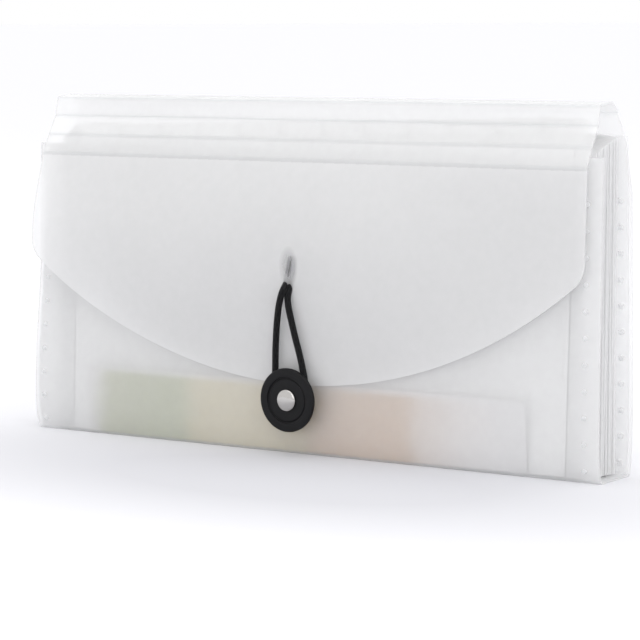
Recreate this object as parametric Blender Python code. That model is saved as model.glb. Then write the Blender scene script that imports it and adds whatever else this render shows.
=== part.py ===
"""Expanding file folder of frosted plastic sheet, standing on its bottom panel.

One creased cover sheet wraps an accordion of thirteen pockets. The cover is the back panel, the bottom
panel, the front panel, five narrow strips over the top and a long front flap with an arched lower edge.
Each panel between two creases is its own solid, because every crease bends. An elastic loop from the flap
hooks behind a riveted disc on the front panel.

Metres, +Z up. The origin is the middle of the bottom panel's underside. -Y is the front.
"""
import math

import bmesh
import bpy
from mathutils import Matrix, Vector

# Cover blank
COVER_WIDTH = 0.266
COVER_SHEET = 0.0006
BASE_DEPTH = 0.022
BACK_HEIGHT = 0.1348
BACK_BULGE = 0.0022
FRONT_DROP = 0.0158
FRONT_TOP_SETBACK = 0.002
FRONT_BULGE = 0.004
SHOULDER_INSET = 0.006
SHOULDER_HEIGHT = 0.030
CREASE_CLEARANCE = 0.0003
MID_SHARE = 0.5

# How a standing panel bulges: height along the panel, and bulge there
BULGE_HEIGHT_SHARES = (0, 0.025, 0.066, 0.124, 0.207, 0.331, 0.496, 0.661, 0.826, 1)
BULGE_SHARES = (0, 0.375, 0.70, 0.90, 1, 0.96, 0.75, 0.50, 0.26, 0)
SHOULDER_STEPS = 6

# Strips over the top, from the back: width, and lean forward from straight up when shut
BACK_BEVEL_WIDTH = 0.0063
LEVEL_TOP_SETBACK = 0.01265
FRONT_BEVEL_WIDTHS = (0.0078, 0.00885, 0.00845)
STRIP_WIDTHS = (BACK_BEVEL_WIDTH, BASE_DEPTH - LEVEL_TOP_SETBACK) + FRONT_BEVEL_WIDTHS
STRIP_LEANS_DEG = (48.7, 96.3, 168.1, 148.8, 154.0)
TOP_SIDE_INSET = 0.0055

# How far the cover bends at each crease over the top when wide open, backward
OPEN_TURNS_DEG = (20, 20, 64, 24, 24, 20)

# Front flap
FLAP_EDGE_HEIGHT = 0.0279
FLAP_BOW = 0.0072
FLAP_LENGTH_SHARES = (0, 0.06, 0.124, 0.19, 0.255, 0.346, 0.45, 0.553, 0.65, 0.748, 0.83, 0.91, 1)
FLAP_BOW_SHARES = (0, 0.20, 0.42, 0.64, 0.82, 0.97, 1, 0.90, 0.73, 0.50, 0.29, 0.11, 0)
# Toward its right edge the flap lies closer to the front panel: where the bow starts to go, where it has
# gone, and how much of it is left there
FLATTER_START_SHARE = 0.09
FLATTER_END_SHARE = 0.97
BOW_LEFT_SHARE = 0.08
FLATTER_STEPS = 7
FLAP_EDGE_RADIUS = 0.195
FLAP_CORNER_RADIUS = 0.011
FLAP_EDGE_STEPS = 22
FLAP_CORNER_STEPS = 5
LOOP_SLOT_WIDTH = 0.0074
LOOP_SLOT_HEIGHT = 0.0050
LOOP_SLOT_Z = 0.0659
SLOT_END_STEPS = 6

# Accordion: twelve dividers make thirteen pockets
POCKETS = 13
DIVIDER_SHEET = 0.0004
POCKET_PITCH_TOP = 0.00108
DIVIDER_DROP = 0.0073
DIVIDER_SLOPE = 0.0060
TAB_HEIGHT = 0.0055
TAB_WIDTH = 0.0205
TAB_MARGIN = 0.001
TAB_CORNER_RADIUS = 0.002
TAB_CORNER_STEPS = 3
FILM = 0.0003
PLEAT_OUTER_INSET = 0.0075
PLEAT_INNER_INSET = 0.0160
FLANGE_EDGE_INSET = 0.0012
PLEAT_CORNER_DROP = 0.0025
FOLD_HALF = 0.00018
FILM_HEIGHT_SHARES = (0, 0.066, 0.207, 0.496, 0.76, 1)
SEAT_GAP = 0.0003

# Closure
BUTTON_Z = 0.0224
DISC_RADIUS = 0.0125
DISC_THICKNESS = 0.0017
DISC_EDGE_ROUND = 0.0004
HUB_RADIUS = 0.0055
HUB_LENGTH = 0.0048
RING_GROOVE_RADIUS = 0.0087
RING_GROOVE_WIDTH = 0.0008
RING_GROOVE_DEPTH = 0.0007
DISH_DEPTH = 0.0003
NOTCH_CLEARANCE = 0.0006
SHANK_RADIUS = 0.0020
SHANK_CLEARANCE = 0.0003
RIVET_HEAD_RADIUS = 0.0043
RIVET_HEAD_HEIGHT = 0.0013
RIVET_TAIL_RADIUS = 0.0032
RIVET_TAIL_HEIGHT = 0.0005
WASHER_RADIUS = 0.0050
WASHER_THICKNESS = 0.0005
ROUND_SEGMENTS = 32
HEAD_STEPS = 4

# Elastic loop, by hand from the crimp behind the flap, round the hub and back: x, distance out from the
# front panel's face at the disc, z
CORD_DIAMETER = 0.0024
CORD_BEVEL_RESOLUTION = 2
CORD_POINT_STEP = 0.0022
CORD_SPAN_PARTS = 12
LOOP_ROUTE = (
    (-0.00130, 0.00407, 0.0705),
    (-0.00130, 0.00407, 0.0693),
    (-0.00130, 0.00449, 0.0677),
    (-0.00135, 0.00567, 0.0661),
    (-0.00150, 0.00717, 0.0647),
    (-0.00200, 0.00792, 0.0627),
    (-0.00330, 0.00757, 0.0588),
    (-0.00470, 0.00657, 0.0530),
    (-0.00580, 0.00522, 0.0462),
    (-0.00650, 0.00417, 0.0404),
    (-0.00690, 0.00352, 0.0350),
    (-0.00700, 0.00337, 0.0300),
    (-0.00695, 0.00332, 0.0240),
    (-0.00640, 0.00327, 0.0196),
    (-0.00430, 0.00322, 0.0169),
    (-0.00150, 0.00322, 0.0156),
    (0.00150, 0.00322, 0.0156),
    (0.00430, 0.00322, 0.0169),
    (0.00640, 0.00327, 0.0196),
    (0.00695, 0.00332, 0.0240),
    (0.00700, 0.00337, 0.0300),
    (0.00650, 0.00352, 0.0350),
    (0.00560, 0.00417, 0.0404),
    (0.00445, 0.00522, 0.0462),
    (0.00310, 0.00657, 0.0530),
    (0.00215, 0.00757, 0.0588),
    (0.00165, 0.00792, 0.0627),
    (0.00145, 0.00717, 0.0647),
    (0.00135, 0.00567, 0.0661),
    (0.00130, 0.00449, 0.0677),
    (0.00130, 0.00407, 0.0693),
    (0.00130, 0.00407, 0.0705),
)
FERRULE_WIDTH = 0.0040
FERRULE_DEPTH = 0.0026
FERRULE_LENGTH = 0.0076
FERRULE_ROUND = 0.0010
FERRULE_ROUND_SEGMENTS = 2
FERRULE_MOUTH_SHARE = 0.9

# Coloured card in the front pocket
CARD_SHEET = 0.0003
CARD_LEFT_MARGIN = 0.026
CARD_RIGHT_MARGIN = 0.032
CARD_HEIGHT = 0.0272
CARD_LEAN = 0.0014
CARD_FOOT_SETBACK = 0.0005

CUT_OVERRUN = 0.004
SMOOTH_BELOW_DEG = 35


def clear_scene():
    for thing in list(bpy.data.objects):
        bpy.data.objects.remove(thing, do_unlink=True)


def make_material(name, colour, roughness, metallic=0.0, alpha=1.0):
    made = bpy.data.materials.new(name)
    made.use_nodes = True
    shader = made.node_tree.nodes["Principled BSDF"]
    shader.inputs["Base Color"].default_value = (*colour, 1)
    shader.inputs["Roughness"].default_value = roughness
    shader.inputs["Metallic"].default_value = metallic
    shader.inputs["Alpha"].default_value = alpha
    return made


def make_object(name, bm, material, origin=(0, 0, 0), smooth=False):
    """Write bm, which holds world places, as an object whose origin is the given point."""
    bmesh.ops.recalc_face_normals(bm, faces=bm.faces)
    if bm.calc_volume(signed=True) < 0:
        bmesh.ops.reverse_faces(bm, faces=bm.faces)
    bmesh.ops.translate(bm, vec=-Vector(origin), verts=bm.verts)
    mesh = bpy.data.meshes.new(name)
    bm.to_mesh(mesh)
    bm.free()
    mesh.materials.append(material)
    if smooth:
        mesh.shade_smooth()
        mesh.set_sharp_from_angle(angle=math.radians(SMOOTH_BELOW_DEG))
    made = bpy.data.objects.new(name, mesh)
    made.location = origin
    bpy.context.collection.objects.link(made)
    return made


def cut(target, cutter):
    """Take the cutter's shape out of the target, and leave the cutter as a guide."""
    cutter.hide_render = True
    cutter.display_type = "WIRE"
    modifier = target.modifiers.new("cut", "BOOLEAN")
    modifier.operation = "DIFFERENCE"
    modifier.solver = "EXACT"
    modifier.object = cutter


# Side view helpers: a profile is a list of (y, z) places along the outer face of a sheet

def direction(lean_deg):
    """The way a sheet runs when it leans forward from straight up by this angle."""
    lean = math.radians(lean_deg)
    return Vector((-math.sin(lean), math.cos(lean)))


def lean_of(step):
    return math.degrees(math.atan2(-step.x, step.y)) % 360


def lengths_along(profile):
    total = [0]
    for near, far in zip(profile, profile[1:]):
        total.append(total[-1] + (far - near).length)
    return total


def offset_profile(profile, distance):
    """The profile moved sideways by distance, to the left of its run, with mitred knots."""
    normals = []
    for near, far in zip(profile, profile[1:]):
        run = (far - near).normalized()
        normals.append(Vector((-run.y, run.x)))
    moved = []
    for index, place in enumerate(profile):
        before = normals[max(index - 1, 0)]
        after = normals[min(index, len(normals) - 1)]
        mitre = (before + after).normalized()
        moved.append(place + mitre * (distance / mitre.dot(after)))
    return moved


def place_on(profile, stations, s):
    """The (y, z) place at length s along a profile."""
    for index in range(len(stations) - 1):
        if s <= stations[index + 1] or index == len(stations) - 2:
            share = (s - stations[index]) / (stations[index + 1] - stations[index])
            return profile[index].lerp(profile[index + 1], share)


def bent_sheet(outline, profile, thickness, columns=()):
    """Bend a flat blank, an outline of (x, s) points, along a profile. The sheet lies left of the run."""
    stations = lengths_along(profile)
    inner = offset_profile(profile, thickness)
    bm = bmesh.new()
    bm.faces.new([bm.verts.new((x, 0, s)) for x, s in outline])
    for s in stations[1:-1]:
        everything = bm.verts[:] + bm.edges[:] + bm.faces[:]
        bmesh.ops.bisect_plane(bm, geom=everything, plane_co=(0, 0, s), plane_no=(0, 0, 1))
    for x in columns:
        everything = bm.verts[:] + bm.edges[:] + bm.faces[:]
        bmesh.ops.bisect_plane(bm, geom=everything, plane_co=(x, 0, 0), plane_no=(1, 0, 0))
    outer_verts = bm.verts[:]
    grown = bmesh.ops.extrude_face_region(bm, geom=bm.faces[:], use_keep_orig=True)
    inner_verts = [item for item in grown["geom"] if isinstance(item, bmesh.types.BMVert)]
    for verts, side in ((outer_verts, profile), (inner_verts, inner)):
        for vert in verts:
            y, z = place_on(side, stations, vert.co.z)
            vert.co = Vector((vert.co.x, y, z))
    return bm


def standing_profile(foot, top, bulge_depth, forward):
    """A panel that stands on foot and reaches top, and bulges away from the pockets."""
    profile = []
    for height_share, bulge_share in zip(BULGE_HEIGHT_SHARES, BULGE_SHARES):
        place = foot.lerp(top, height_share)
        profile.append(place + Vector((-forward * bulge_depth * bulge_share, 0)))
    return profile


def trimmed(profile, at_start, at_end):
    """The profile with its first and last runs shortened."""
    first = (profile[1] - profile[0]).normalized()
    last = (profile[-1] - profile[-2]).normalized()
    return [profile[0] + first * at_start] + profile[1:-1] + [profile[-1] - last * at_end]


def crease_trim(rest_turn_deg, widest_turn_deg):
    """How far a sheet stops short of its outer crease line, so that it clears its neighbour at every turn."""
    half_sheet = COVER_SHEET * MID_SHARE
    to_hinge = half_sheet * math.tan(math.radians(rest_turn_deg) * MID_SHARE)
    swept = half_sheet * math.tan(math.radians(widest_turn_deg) * MID_SHARE)
    return to_hinge + swept + CREASE_CLEARANCE * MID_SHARE


# The cover's side view

HALF_WIDTH = COVER_WIDTH * MID_SHARE
TOP_WIDTH = COVER_WIDTH - 2 * TOP_SIDE_INSET
FRONT_HEIGHT = BACK_HEIGHT - FRONT_DROP
FRONT_FOOT = Vector((-BASE_DEPTH * MID_SHARE, 0))
BACK_FOOT = Vector((BASE_DEPTH * MID_SHARE, 0))
FRONT_TOP = Vector((-BASE_DEPTH * MID_SHARE + FRONT_TOP_SETBACK, FRONT_HEIGHT))
BACK_TOP = Vector((BASE_DEPTH * MID_SHARE, BACK_HEIGHT))
FRONT_PROFILE = standing_profile(FRONT_FOOT, FRONT_TOP, FRONT_BULGE, 1)
BACK_PROFILE = standing_profile(BACK_FOOT, BACK_TOP, BACK_BULGE, -1)


def strip_creases():
    """The crease lines over the top, from the back panel to the flap."""
    places = [BACK_TOP.copy()]
    for width, lean in zip(STRIP_WIDTHS, STRIP_LEANS_DEG):
        places.append(places[-1] + direction(lean) * width)
    return places


def height_on(profile, z):
    """The y of a profile at height z."""
    for near, far in zip(profile, profile[1:]):
        low, high = sorted((near.y, far.y))
        if low <= z <= high:
            return near.lerp(far, (z - near.y) / (far.y - near.y)).x
    raise ValueError("the profile doesn't reach this height")


def flap_profile(crease):
    """From the last crease the flap bows out, and its lower edge comes back to rest on the front panel."""
    rest = height_on(FRONT_PROFILE, FLAP_EDGE_HEIGHT) - COVER_SHEET - SEAT_GAP
    tip = Vector((rest, FLAP_EDGE_HEIGHT))
    outward = Vector((-FLAP_BOW, 0))
    profile = []
    for length_share, bow_share in zip(FLAP_LENGTH_SHARES, FLAP_BOW_SHARES):
        profile.append(crease.lerp(tip, length_share) + outward * bow_share)
    return profile


CREASES = strip_creases()
FLAP_PROFILE = flap_profile(CREASES[-1])


# Pieces of the cover

def back_half_width(below_top):
    """Half width of the back panel, which is drawn in at both shoulders."""
    share = max(0, 1 - below_top / SHOULDER_HEIGHT)
    return HALF_WIDTH - SHOULDER_INSET * share ** 2


def back_panel(material):
    profile = trimmed(list(reversed(BACK_PROFILE)), crease_trims()[0], base_trim())
    height = lengths_along(profile)[-1]
    outline = [(-HALF_WIDTH, height), (HALF_WIDTH, height)]
    for step in range(SHOULDER_STEPS + 1):
        below_top = SHOULDER_HEIGHT * (1 - step / SHOULDER_STEPS)
        outline.append((back_half_width(below_top), below_top))
    outline += [(-x, s) for x, s in reversed(outline[2:])]
    bm = bent_sheet(outline, profile, -COVER_SHEET)
    return make_object("back_panel", bm, material)


def base_trim():
    return crease_trim(90, 90)


def plain_outline(width, length):
    half = width * MID_SHARE
    return [(-half, 0), (half, 0), (half, length), (-half, length)]


def bottom_panel(material):
    profile = trimmed([BACK_FOOT, FRONT_FOOT], base_trim(), base_trim())
    outline = plain_outline(COVER_WIDTH, lengths_along(profile)[-1])
    return make_object("bottom_panel", bent_sheet(outline, profile, -COVER_SHEET), material)


def front_hinge():
    return Vector((0, FRONT_FOOT.x + COVER_SHEET * MID_SHARE, COVER_SHEET * MID_SHARE))


def front_panel(material):
    profile = trimmed(FRONT_PROFILE, base_trim(), 0)
    outline = plain_outline(COVER_WIDTH, lengths_along(profile)[-1])
    bm = bent_sheet(outline, profile, -COVER_SHEET)
    made = make_object("front_panel", bm, material, front_hinge())
    hole = cylinder_cutter("rivet_hole_guide", SHANK_RADIUS + SHANK_CLEARANCE, BUTTON_Z, FRONT_OUTER_AT_BUTTON)
    cut(made, hole)
    return made


def rest_turns():
    """How far the cover bends at each crease over the top, when shut."""
    leans = [0] + list(STRIP_LEANS_DEG) + [lean_of(FLAP_PROFILE[1] - FLAP_PROFILE[0])]
    return [after - before for before, after in zip(leans, leans[1:])]


def crease_trims():
    return [crease_trim(rest, max(abs(rest), wide)) for rest, wide in zip(rest_turns(), OPEN_TURNS_DEG)]


def crease_hinges():
    """The bending line of each crease over the top."""
    runs = [BACK_PROFILE] + [list(pair) for pair in zip(CREASES, CREASES[1:])] + [FLAP_PROFILE]
    places = []
    for before, after in zip(runs, runs[1:]):
        joined = [before[-2], before[-1], after[1]]
        places.append(offset_profile(joined, COVER_SHEET * MID_SHARE)[1])
    return [Vector((0, place.x, place.y)) for place in places]


def top_strips(material):
    trims = crease_trims()
    hinges = crease_hinges()
    for index in range(len(STRIP_WIDTHS)):
        ends = [CREASES[index], CREASES[index + 1]]
        profile = trimmed(ends, trims[index], trims[index + 1])
        outline = plain_outline(TOP_WIDTH, lengths_along(profile)[-1])
        bm = bent_sheet(outline, profile, COVER_SHEET)
        make_object(f"top_strip_{index + 1}", bm, material, hinges[index])


def flap_outline(length):
    """Straight sides, round corners and one wide arc for the lower edge."""
    half = TOP_WIDTH * MID_SHARE
    big = FLAP_EDGE_RADIUS
    small = FLAP_CORNER_RADIUS
    centre = length - big
    corner = centre + math.sqrt((big - small) ** 2 - (half - small) ** 2)
    meet = math.atan2(half - small, corner - centre)
    right = [(half, 0)]
    for step in range(FLAP_CORNER_STEPS + 1):
        angle = math.radians(90) + (meet - math.radians(90)) * step / FLAP_CORNER_STEPS
        right.append((half - small + small * math.sin(angle), corner + small * math.cos(angle)))
    for step in range(1, FLAP_EDGE_STEPS // 2 + 1):
        angle = meet * (1 - step / (FLAP_EDGE_STEPS // 2))
        right.append((big * math.sin(angle), centre + big * math.cos(angle)))
    left = [(-x, s) for x, s in reversed(right[:-1])]
    return right + left


def stadium(width, height):
    """A slot with round ends, as (x, z) points about its middle."""
    radius = height * MID_SHARE
    reach = width * MID_SHARE - radius
    points = []
    for side in (1, -1):
        for step in range(SLOT_END_STEPS + 1):
            angle = math.pi * (step / SLOT_END_STEPS - MID_SHARE)
            points.append((side * (reach + radius * math.cos(angle)), side * radius * math.sin(angle)))
    return points


def prism_cutter(name, points, z, y_near, y_far):
    bm = bmesh.new()
    near = bm.faces.new([bm.verts.new((x, y_near, z + rise)) for x, rise in points])
    grown = bmesh.ops.extrude_face_region(bm, geom=[near])
    moved = [item for item in grown["geom"] if isinstance(item, bmesh.types.BMVert)]
    bmesh.ops.translate(bm, vec=(0, y_far - y_near, 0), verts=moved)
    return make_object(name, bm, bpy.data.materials[0])


def circle_points(radius, segments=ROUND_SEGMENTS):
    turn = 2 * math.pi / segments
    return [(radius * math.cos(turn * step), radius * math.sin(turn * step)) for step in range(segments)]


def cylinder_cutter(name, radius, z, y_middle):
    return prism_cutter(name, circle_points(radius), z, y_middle - CUT_OVERRUN, y_middle + CUT_OVERRUN)


def flap_columns():
    """Where the flap is divided across its width, so that it can lie flatter toward its right edge."""
    half = TOP_WIDTH * MID_SHARE
    first = half * FLATTER_START_SHARE
    run = half * FLATTER_END_SHARE - first
    return [first + run * step / FLATTER_STEPS for step in range(FLATTER_STEPS + 1)]


def bow_share_at(length_share):
    """The bow at a share of the flap's length."""
    shares = list(zip(FLAP_LENGTH_SHARES, FLAP_BOW_SHARES))
    for (near, bow), (far, next_bow) in zip(shares, shares[1:]):
        if near <= length_share <= far:
            return bow + (next_bow - bow) * (length_share - near) / (far - near)
    return 0


def flatten_right(bm):
    """Take the bow out of the flap toward its right edge."""
    columns = flap_columns()
    crease, tip = FLAP_PROFILE[0], FLAP_PROFILE[-1]
    for vert in bm.verts:
        t = min(max((vert.co.x - columns[0]) / (columns[-1] - columns[0]), 0), 1)
        gone = (1 - BOW_LEFT_SHARE) * t * t * (3 - 2 * t)
        down = (crease.y - vert.co.z) / (crease.y - tip.y)
        vert.co.y += FLAP_BOW * bow_share_at(down) * gone
    bmesh.ops.triangulate(bm, faces=bm.faces)


def flap_panel(material):
    profile = trimmed(FLAP_PROFILE, crease_trims()[-1], 0)
    outline = flap_outline(lengths_along(profile)[-1])
    bm = bent_sheet(outline, profile, COVER_SHEET, flap_columns())
    flatten_right(bm)
    made = make_object("flap_panel", bm, material, crease_hinges()[-1])
    tip = FLAP_PROFILE[-1].x
    cut(made, cylinder_cutter("disc_notch_guide", DISC_RADIUS + NOTCH_CLEARANCE, BUTTON_Z, tip))
    slot_y = height_on(FLAP_PROFILE, LOOP_SLOT_Z)
    slot = stadium(LOOP_SLOT_WIDTH, LOOP_SLOT_HEIGHT)
    cut(made, prism_cutter("loop_slot_guide", slot, LOOP_SLOT_Z, slot_y - CUT_OVERRUN, slot_y + CUT_OVERRUN))
    return made


# Accordion

DIVIDERS = POCKETS - 1
DIVIDER_WIDTH = COVER_WIDTH - 2 * (PLEAT_INNER_INSET + FILM * MID_SHARE + SEAT_GAP)
DIVIDER_TOP_BACK = BACK_HEIGHT - DIVIDER_DROP
INSIDE_BACK = BASE_DEPTH * MID_SHARE - COVER_SHEET
POCKET_PITCH_FOOT = 2 * INSIDE_BACK / POCKETS
DIVIDER_FOOT_Z = COVER_SHEET + SEAT_GAP


def divider_foot(k):
    return Vector((INSIDE_BACK - POCKET_PITCH_FOOT * k, DIVIDER_FOOT_Z))


def divider_top_height(k):
    return DIVIDER_TOP_BACK - DIVIDER_SLOPE * k / DIVIDERS


def divider_top(k):
    return Vector((INSIDE_BACK - POCKET_PITCH_TOP * k, divider_top_height(k)))


def divider_outline(k, length):
    """A sheet with one index tab, which steps across the width from divider to divider."""
    half = DIVIDER_WIDTH * MID_SHARE
    first_right = half - TAB_MARGIN
    step_x = (2 * first_right - TAB_WIDTH) / (DIVIDERS - 1)
    tab_right = first_right - step_x * (k - 1)
    radius = TAB_CORNER_RADIUS
    points = [(-half, 0), (half, 0), (half, length), (tab_right, length)]
    for quarter, middle in ((0, tab_right - radius), (1, tab_right - TAB_WIDTH + radius)):
        for step in range(TAB_CORNER_STEPS + 1):
            angle = math.radians(90) * (quarter + step / TAB_CORNER_STEPS)
            rise = TAB_HEIGHT - radius + radius * math.sin(angle)
            points.append((middle + radius * math.cos(angle), length + rise))
    return points + [(tab_right - TAB_WIDTH, length), (-half, length)]


def dividers(material):
    for k in range(1, POCKETS):
        foot = divider_foot(k)
        top = divider_top(k)
        run = (top - foot).normalized()
        length = (top - foot).length
        ends = [foot, foot + run * (length + TAB_HEIGHT)]
        centred = offset_profile(ends, -DIVIDER_SHEET * MID_SHARE)
        bm = bent_sheet(divider_outline(k, length), centred, DIVIDER_SHEET)
        make_object(f"divider_{k:02d}", bm, material, Vector((0, foot.x, foot.y)))


def pleat_line():
    """Knots of the film from the back flange to the front flange: inset, pocket count, turn at the fold."""
    knots = [(FLANGE_EDGE_INSET, 0, 0), (PLEAT_OUTER_INSET, 0, 1)]
    for k in range(1, POCKETS):
        knots.append((PLEAT_INNER_INSET, k, -1))
        if k < DIVIDERS:
            knots.append((PLEAT_OUTER_INSET, k + MID_SHARE, 1))
    return knots + [(PLEAT_OUTER_INSET, POCKETS, 1), (FLANGE_EDGE_INSET, POCKETS, 0)]


def film_y(pocket, share):
    """The y of the film at a share of its height, at a pocket count from the back."""
    seat = COVER_SHEET + SEAT_GAP + FILM * MID_SHARE
    if pocket == 0:
        z = DIVIDER_FOOT_Z + (DIVIDER_TOP_BACK - DIVIDER_FOOT_Z) * share
        return height_on(BACK_PROFILE, z) - seat
    if pocket == POCKETS:
        z = DIVIDER_FOOT_Z + (FRONT_HEIGHT - SEAT_GAP - DIVIDER_FOOT_Z) * share
        return height_on(FRONT_PROFILE, z) + seat
    return divider_foot(pocket).lerp(divider_top(pocket), share).x


def film_top(pocket, turn):
    if pocket == POCKETS:
        return FRONT_HEIGHT - SEAT_GAP
    drop = PLEAT_CORNER_DROP if turn == 1 else 0
    return divider_top_height(pocket) - drop


def film_row(side, share):
    """The film's middle line at a share of its height, as (x, y) with each point's z. Folds are U turns."""
    row = []
    for inset, pocket, turn in pleat_line():
        z = DIVIDER_FOOT_Z + (film_top(pocket, turn) - DIVIDER_FOOT_Z) * share
        edge = HALF_WIDTH if turn else back_half_width(BACK_HEIGHT - z)
        x = side * (edge - inset)
        y = film_y(pocket, share)
        flange_fold = pocket in (0, POCKETS)
        if turn == 0:
            row.append((Vector((x, y)), z))
        elif flange_fold:
            inward = 1 if pocket else -1
            flange = (Vector((x, y)), z)
            back = (Vector((x, y + inward * 2 * FOLD_HALF)), z)
            row += [back, flange] if pocket else [flange, back]
        else:
            row += [(Vector((x, y + FOLD_HALF)), z), (Vector((x, y - FOLD_HALF)), z)]
    return row


def gusset(name, side, material):
    """One zigzag film that closes the pockets at one side, with a flange along each cover panel."""
    bm = bmesh.new()
    rows = []
    for share in FILM_HEIGHT_SHARES:
        middle = film_row(side, share)
        line = [place for place, z in middle]
        faces = [offset_profile(line, FILM * MID_SHARE * way) for way in (1, -1)]
        rows.append([[bm.verts.new((near.x, near.y, z)), bm.verts.new((far.x, far.y, z))]
                     for near, far, (place, z) in zip(*faces, middle)])
    count = len(rows[0])
    for low, high in zip(rows, rows[1:]):
        for index in range(count - 1):
            for half in (0, 1):
                bm.faces.new((low[index][half], low[index + 1][half], high[index + 1][half], high[index][half]))
        for index in (0, count - 1):
            bm.faces.new((low[index][0], low[index][1], high[index][1], high[index][0]))
    for row in (rows[0], rows[-1]):
        for index in range(count - 1):
            bm.faces.new((row[index][0], row[index + 1][0], row[index + 1][1], row[index][1]))
    bmesh.ops.triangulate(bm, faces=bm.faces)
    return make_object(name, bm, material)


# Closure

FRONT_OUTER_AT_BUTTON = height_on(FRONT_PROFILE, BUTTON_Z)
HUB_BACK_Y = FRONT_OUTER_AT_BUTTON - SEAT_GAP
DISC_BACK_Y = HUB_BACK_Y - HUB_LENGTH
DISC_FRONT_Y = DISC_BACK_Y - DISC_THICKNESS


def turned(profile):
    """Turn (radius, y) points about the button's axis. A point of radius 0 is a pole."""
    bm = bmesh.new()
    rings = []
    for radius, y in profile:
        if radius == 0:
            rings.append([bm.verts.new((0, y, BUTTON_Z))])
        else:
            rings.append([bm.verts.new((x, y, BUTTON_Z + z)) for x, z in circle_points(radius)])
    pairs = list(zip(rings, rings[1:]))
    if len(rings[0]) > 1:
        pairs.append((rings[-1], rings[0]))
    for near, far in pairs:
        for step in range(ROUND_SEGMENTS):
            after = (step + 1) % ROUND_SEGMENTS
            corners = [near[step % len(near)], near[after % len(near)], far[after % len(far)], far[step % len(far)]]
            bm.faces.new(list(dict.fromkeys(corners)))
    return bm


def button_disc(material):
    """Disc and hub in one moulding: a flat rim, a ring groove and a shallow dish round the rivet."""
    bore = SHANK_RADIUS + SHANK_CLEARANCE
    front = DISC_FRONT_Y
    groove_in = RING_GROOVE_RADIUS - RING_GROOVE_WIDTH * MID_SHARE
    groove_out = RING_GROOVE_RADIUS + RING_GROOVE_WIDTH * MID_SHARE
    profile = [
        (bore, front + DISH_DEPTH),
        (groove_in, front + DISH_DEPTH),
        (groove_in, front + RING_GROOVE_DEPTH),
        (groove_out, front + RING_GROOVE_DEPTH),
        (groove_out, front),
        (DISC_RADIUS - DISC_EDGE_ROUND, front),
        (DISC_RADIUS, front + DISC_EDGE_ROUND),
        (DISC_RADIUS, DISC_BACK_Y - DISC_EDGE_ROUND),
        (DISC_RADIUS - DISC_EDGE_ROUND, DISC_BACK_Y),
        (HUB_RADIUS, DISC_BACK_Y),
        (HUB_RADIUS, HUB_BACK_Y),
        (bore, HUB_BACK_Y),
    ]
    return make_object("button_disc", turned(profile), material, Vector((0, DISC_FRONT_Y, BUTTON_Z)), True)


def washer_front_y():
    return FRONT_OUTER_AT_BUTTON + COVER_SHEET + SEAT_GAP


def button_rivet(material):
    """Domed head, shank and rolled tail."""
    seat = DISC_FRONT_Y + DISH_DEPTH - SEAT_GAP
    tail = washer_front_y() + WASHER_THICKNESS + SEAT_GAP
    profile = [(0, seat - RIVET_HEAD_HEIGHT)]
    for step in range(1, HEAD_STEPS + 1):
        angle = math.radians(90) * step / HEAD_STEPS
        profile.append((RIVET_HEAD_RADIUS * math.sin(angle), seat - RIVET_HEAD_HEIGHT * math.cos(angle)))
    profile += [
        (SHANK_RADIUS, seat),
        (SHANK_RADIUS, tail),
        (RIVET_TAIL_RADIUS, tail),
        (SHANK_RADIUS, tail + RIVET_TAIL_HEIGHT),
        (0, tail + RIVET_TAIL_HEIGHT),
    ]
    return make_object("button_rivet", turned(profile), material, Vector((0, seat, BUTTON_Z)), True)


def rivet_washer(material):
    bore = SHANK_RADIUS + SHANK_CLEARANCE
    near = washer_front_y()
    far = near + WASHER_THICKNESS
    profile = [(bore, near), (WASHER_RADIUS, near), (WASHER_RADIUS, far), (bore, far)]
    return make_object("rivet_washer", turned(profile), material, Vector((0, near, BUTTON_Z)), True)


def smooth_route(points, step):
    """Points at even steps on a smooth curve through the given ones."""
    knots = [Vector(point) for point in points]
    knots = [knots[0] * 2 - knots[1]] + knots + [knots[-1] * 2 - knots[-2]]
    fine = []
    for index in range(1, len(knots) - 2):
        a, b, c, d = knots[index - 1:index + 3]
        for part in range(CORD_SPAN_PARTS):
            t = part / CORD_SPAN_PARTS
            fine.append(MID_SHARE * (2 * b + (c - a) * t + (2 * a - 5 * b + 4 * c - d) * t ** 2
                                     + (3 * b - a - 3 * c + d) * t ** 3))
    fine.append(knots[-2])
    total = sum((far - near).length for near, far in zip(fine, fine[1:]))
    count = max(2, round(total / step))
    gap = total / count
    even = [fine[0]]
    walked = 0
    for near, far in zip(fine, fine[1:]):
        length = (far - near).length
        while len(even) < count and walked + length >= gap * len(even):
            even.append(near.lerp(far, (gap * len(even) - walked) / length))
        walked += length
    even.append(fine[-1])
    return even


def elastic_loop(material):
    hinge = crease_hinges()[-1]
    route = [(x, FRONT_OUTER_AT_BUTTON - out, z) for x, out, z in LOOP_ROUTE]
    places = smooth_route(route, CORD_POINT_STEP)
    curve = bpy.data.curves.new("elastic_loop", "CURVE")
    curve.dimensions = "3D"
    curve.bevel_depth = CORD_DIAMETER * MID_SHARE
    curve.bevel_resolution = CORD_BEVEL_RESOLUTION
    curve.use_fill_caps = True
    spline = curve.splines.new("POLY")
    spline.points.add(len(places) - 1)
    for point, place in zip(spline.points, places):
        point.co = (*(place - hinge), 1)
    curve.materials.append(material)
    made = bpy.data.objects.new("elastic_loop", curve)
    made.location = hinge
    bpy.context.collection.objects.link(made)
    return made


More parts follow.
